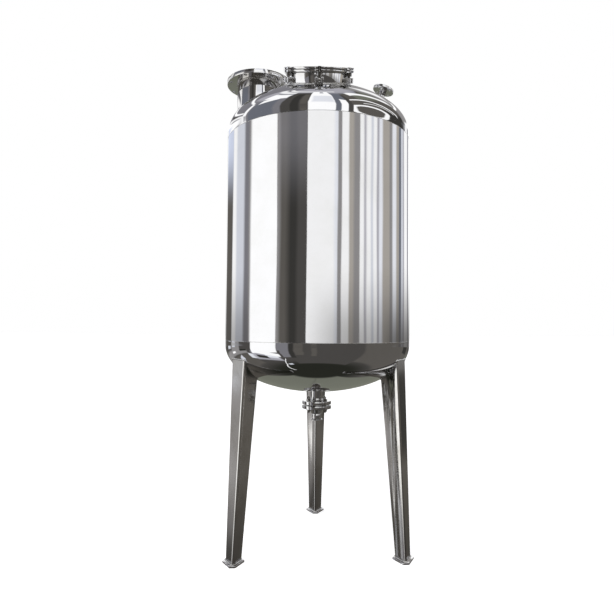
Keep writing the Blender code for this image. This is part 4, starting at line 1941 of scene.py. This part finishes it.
    def ring(
        self, desk: NodeDesk, turn: bpy.types.NodeSocket, rise: bpy.types.NodeSocket
    ) -> bpy.types.NodeSocket:
        """The upright bands all round, darker and warmer near the ground on both sides.

        Args:
            desk: Where the nodes go.
            turn: Degrees round from the camera's side.
            rise: Degrees above the horizon.

        Returns:
            The ring's colour.
        """
        light: bpy.types.NodeSocket | None = None
        for first in range(0, len(self.bands), self.ramp_bands):
            group = self.bands[first : first + self.ramp_bands + 1]
            part = self.ramp(desk, turn, group)
            if light is None:
                light = part
                continue
            low, high = group[0].start - self.RAMP_JOINT, group[0].start + self.RAMP_JOINT
            light = desk.mix(desk.rescale(turn, low, high, 0.0, 1.0), light, part)
        near_ground = desk.rescale(rise, *self.NEAR_GROUND, 1.0, 0.0)
        left = desk.rescale(turn, *self.LEFT_SHADE)
        right = desk.rescale(turn, *self.RIGHT_SHADE)
        far_right = desk.rescale(turn, *self.FAR_RIGHT_SHADE)
        shade = desk.sums("ADD", left, desk.sums("ADD", right, far_right))
        light = desk.mix(desk.sums("MULTIPLY", near_ground, shade), light, (*COAL, 1))
        up, along = desk.rescale(rise, *self.TOP_GLOW), self.span(desk, turn, *self.GLOW_SPAN)
        light = desk.mix(desk.sums("MULTIPLY", up, along), light, (*MIST, 1))
        up, along = desk.rescale(rise, *self.SKY), self.span(desk, turn, *self.SKY_SPAN)
        return desk.mix(desk.sums("MULTIPLY", up, along), light, (*self.SKY_LIGHT, 1))

    def span(
        self, desk: NodeDesk, turn: bpy.types.NodeSocket, start: float, end: float
    ) -> bpy.types.NodeSocket:
        """1 between two edges and 0 outside them."""
        outside = self.beyond(desk, turn, start, end)
        return desk.rescale(outside, -self.SPAN_SOFT, self.SPAN_SOFT, 1.0, 0.0)

    def ramp(
        self, desk: NodeDesk, turn: bpy.types.NodeSocket, bands: Sequence[Band]
    ) -> bpy.types.NodeSocket:
        """A colour ramp with a soft step at the start of each band.

        Args:
            desk: Where the nodes go.
            turn: Degrees round from the camera's side.
            bands: The bands, in order.

        Returns:
            The ramp's colour.
        """
        low, high = bands[0].start - self.RAMP_BEFORE, bands[-1].start + self.RAMP_AFTER
        share = desk.sums("DIVIDE", desk.sums("SUBTRACT", turn, low), high - low)
        node = desk.add("ValToRGB", Fac=share)
        ramp = node.color_ramp
        stops = [(0.0, bands[0].light)]
        for before, band in zip(bands, bands[1:]):
            stops.append(((band.start - band.soft - low) / (high - low), before.light))
            stops.append(((band.start + band.soft - low) / (high - low), band.light))
        for element, (place, colour) in zip(ramp.elements, stops):
            element.position, element.color = place, (*colour, 1)
        for place, colour in stops[2:]:
            ramp.elements.new(place).color = (*colour, 1)
        return node.outputs[0]

    def mask(
        self, desk: NodeDesk, turn: bpy.types.NodeSocket, rise: bpy.types.NodeSocket, screen: Screen
    ) -> bpy.types.NodeSocket:
        """1 on a screen and 0 off it, with soft edges.

        Args:
            desk: Where the nodes go.
            turn: Degrees round from the camera's side.
            rise: Degrees above the horizon.
            screen: The screen.

        Returns:
            The mask.
        """
        level = rise
        if screen.slope or screen.bend:
            along = desk.sums("SUBTRACT", turn, screen.peak)
            fall = desk.sums("MULTIPLY", desk.sums("MULTIPLY", along, along), screen.bend)
            climb = desk.sums("MULTIPLY", along, screen.slope)
            level = desk.sums("SUBTRACT", desk.sums("ADD", rise, fall), climb)
        beside = self.beyond(desk, turn, screen.start, screen.end)
        past = desk.sums("MAXIMUM", beside, self.beyond(desk, level, screen.low, screen.high))
        soft = screen.feather / 2
        return desk.rescale(past, -soft, soft, 1.0, 0.0)

    @staticmethod
    def beyond(
        desk: NodeDesk, value: bpy.types.NodeSocket, low: float, high: float
    ) -> bpy.types.NodeSocket:
        """How far a value lies outside a range, negative inside it."""
        off = desk.sums("ABSOLUTE", desk.sums("SUBTRACT", value, (low + high) / 2))
        return desk.sums("SUBTRACT", off, (high - low) / 2)

    def floor(self) -> None:
        """A plain pale floor, a little lit of itself, that the polished steel doesn't mirror."""
        mesh = bmesh.new()
        bmesh.ops.create_grid(mesh, x_segments=2, y_segments=2, size=self.floor_reach)
        data = bpy.data.meshes.new("floor")
        mesh.to_mesh(data)
        mesh.free()
        thing = bpy.data.objects.new("floor", data)
        bpy.context.scene.collection.objects.link(thing)
        material = bpy.data.materials.new("pale_floor")
        material.use_nodes = True
        desk = NodeDesk(material.node_tree)
        shader = desk.add(
            "BsdfPrincipled",
            Base_Color=(*self.FLOOR_TONE, 1),
            Roughness=0.9,
            Emission_Color=(1, 1, 1, 1),
            Emission_Strength=self.FLOOR_GLOW,
        )
        desk.add("OutputMaterial", Surface=shader.outputs[0])
        data.materials.append(material)
        thing.visible_glossy = False

    def lamp(self) -> None:
        """A large soft lamp overhead, which the steel doesn't mirror."""
        data = bpy.data.lights.new("soft_lamp", "AREA")
        data.shape = "DISK"
        data.size = self.LAMP_SIZE
        data.energy = self.LAMP_POWER
        lamp = bpy.data.objects.new("soft_lamp", data)
        lamp.location = self.LAMP_PLACE
        lamp.rotation_euler = (Vector(self.LAMP_AIM) - lamp.location).to_track_quat("-Z", "Y").to_euler()
        bpy.context.scene.collection.objects.link(lamp)
        lamp.visible_glossy = False


@dataclass(frozen=True)
class Camera:
    """The camera at the photograph's place.

    Attributes:
        distance: Level distance from the tank's centre line.
        height: Height above the floor.
        bearing: How far round to the left of the front it stands.
        pitch: How far it looks up.
        yaw: How far it looks to the left of the centre line.
        roll: How far it leans.
        lens: Focal length on the sensor.
        sensor: Width of the sensor.
        shift: Where the middle of the picture lies off the lens axis.
    """

    distance: float = 2.9386
    height: float = 1.1757
    bearing: float = 0.0293
    pitch: float = 0.0355
    yaw: float = -0.0142
    roll: float = -0.0071
    lens: float = 31.186
    sensor: float = 36.0
    shift: Point2 = (-0.00443, -0.0005)

    def build(self) -> None:
        """Makes it the scene's camera."""
        data = bpy.data.cameras.new("camera")
        data.lens, data.sensor_width = self.lens, self.sensor
        data.shift_x, data.shift_y = self.shift
        data.clip_end = 200.0
        thing = bpy.data.objects.new("camera", data)
        bpy.context.scene.collection.objects.link(thing)
        round_tank = Matrix.Rotation(-self.bearing, 4, "Z")
        stand = Matrix.Translation((0, -self.distance, self.height))
        look = (
            Matrix.Rotation(-self.yaw, 4, "Z")
            @ Matrix.Rotation(math.pi / 2 + self.pitch, 4, "X")
            @ Matrix.Rotation(-self.roll, 4, "Z")
        )
        thing.matrix_world = round_tank @ stand @ look
        bpy.context.scene.camera = thing


def plain_view() -> None:
    """Shows light as it is, with no film curve."""
    view = bpy.context.scene.view_settings
    view.view_transform = "Standard"
    view.look = "None"


@dataclass
class Tank:
    """The whole tank: where its nozzles stand, and the order in which it is built.

    Attributes:
        shop: What makes the pieces.
        manway_side: How far to the right of the front the manway stands.
        manway_forward: How far in front of the centre line.
        manway_lean: How far it leans forward.
        vent_across: How far to the right the vent stands.
        vent_lean: How far it leans to the right.
        vent_length: From the head to the underside of its flange.
    """

    shop: Workshop
    manway_side: float = -0.011
    manway_forward: float = 0.297
    manway_lean: float = math.radians(23)
    vent_across: float = 0.330
    vent_lean: float = math.radians(17)
    vent_length: float = 0.108

    INLET_FACE = 0.002
    INLET_SHORT = 0.004

    def build(self) -> None:
        """Makes every piece of the tank."""
        vessel = Vessel(self.shop)
        heads = vessel.build()
        self.manway(vessel.top, heads["top_head"])
        self.inlet(vessel.top, heads["top_head"])
        self.vent(vessel.top, heads["top_head"])
        self.outlet(vessel.bottom, heads["bottom_head"])
        Legs(self.shop, vessel.bottom).build()

    def manway(self, top: DishedEnd, head: bpy.types.Object) -> None:
        """The manway on the front shoulder.

        Args:
            top: The top head's surface.
            head: The top head's piece.
        """
        level = top.level(math.hypot(self.manway_side, self.manway_forward))
        foot = Matrix.Translation((self.manway_side, -self.manway_forward, level))
        place = foot @ Matrix.Rotation(self.manway_lean, 4, "X")
        sizes = {"radius": 0.157, "wall": 0.004, "neck_top": 0.0367, "steps": 160}
        Manway(self.shop, top, head, "manway", place, **sizes).build()

    def inlet(self, top: DishedEnd, head: bpy.types.Object) -> None:
        """The large open nozzle on the left.

        Args:
            top: The top head's surface.
            head: The top head's piece.
        """
        low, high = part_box("inlet_flange")
        across = (low.x + high.x) / 2
        level = top.level(abs(across))
        OpenNozzle(
            self.shop,
            top,
            head,
            "inlet",
            Matrix.Translation((across, 0, level)),
            radius=0.120,
            wall=0.004,
            neck_top=high.z - level - self.INLET_SHORT,
            steps=128,
            underside=low.z - level,
            rim=(high.x - low.x) / 2,
            thick=high.z - low.z - self.INLET_FACE,
            face=0.146,
            circle=0.160,
            bolts=8,
            hole=0.009,
        ).build()

    def vent(self, top: DishedEnd, head: bpy.types.Object) -> None:
        """The small tilted nozzle on the right.

        Args:
            top: The top head's surface.
            head: The top head's piece.
        """
        foot = Matrix.Translation((self.vent_across, 0, top.level(self.vent_across)))
        thick = 0.012
        OpenNozzle(
            self.shop,
            top,
            head,
            "vent",
            foot @ Matrix.Rotation(self.vent_lean, 4, "Y"),
            radius=0.019,
            wall=0.0025,
            neck_top=self.vent_length + thick,
            steps=64,
            underside=self.vent_length,
            rim=0.0585,
            thick=thick,
            face=0.034,
            circle=0.0445,
        ).build()

    def outlet(self, bottom: DishedEnd, head: bpy.types.Object) -> None:
        """The outlet under the middle of the bottom head.

        Args:
            bottom: The bottom head's surface.
            head: The bottom head's piece.
        """
        sizes = {"radius": 0.036, "wall": 0.003, "neck_top": 0.0}
        Outlet(self.shop, bottom, head, "outlet", Matrix.Identity(4), **sizes).build()


def main() -> None:
    """Builds the tank's pieces and the studio round it."""
    logging.basicConfig(level=logging.INFO, format="%(name)s %(message)s")
    plain_view()
    Studio().build()
    Tank(Workshop()).build()


if __name__ == "__main__":
    main()
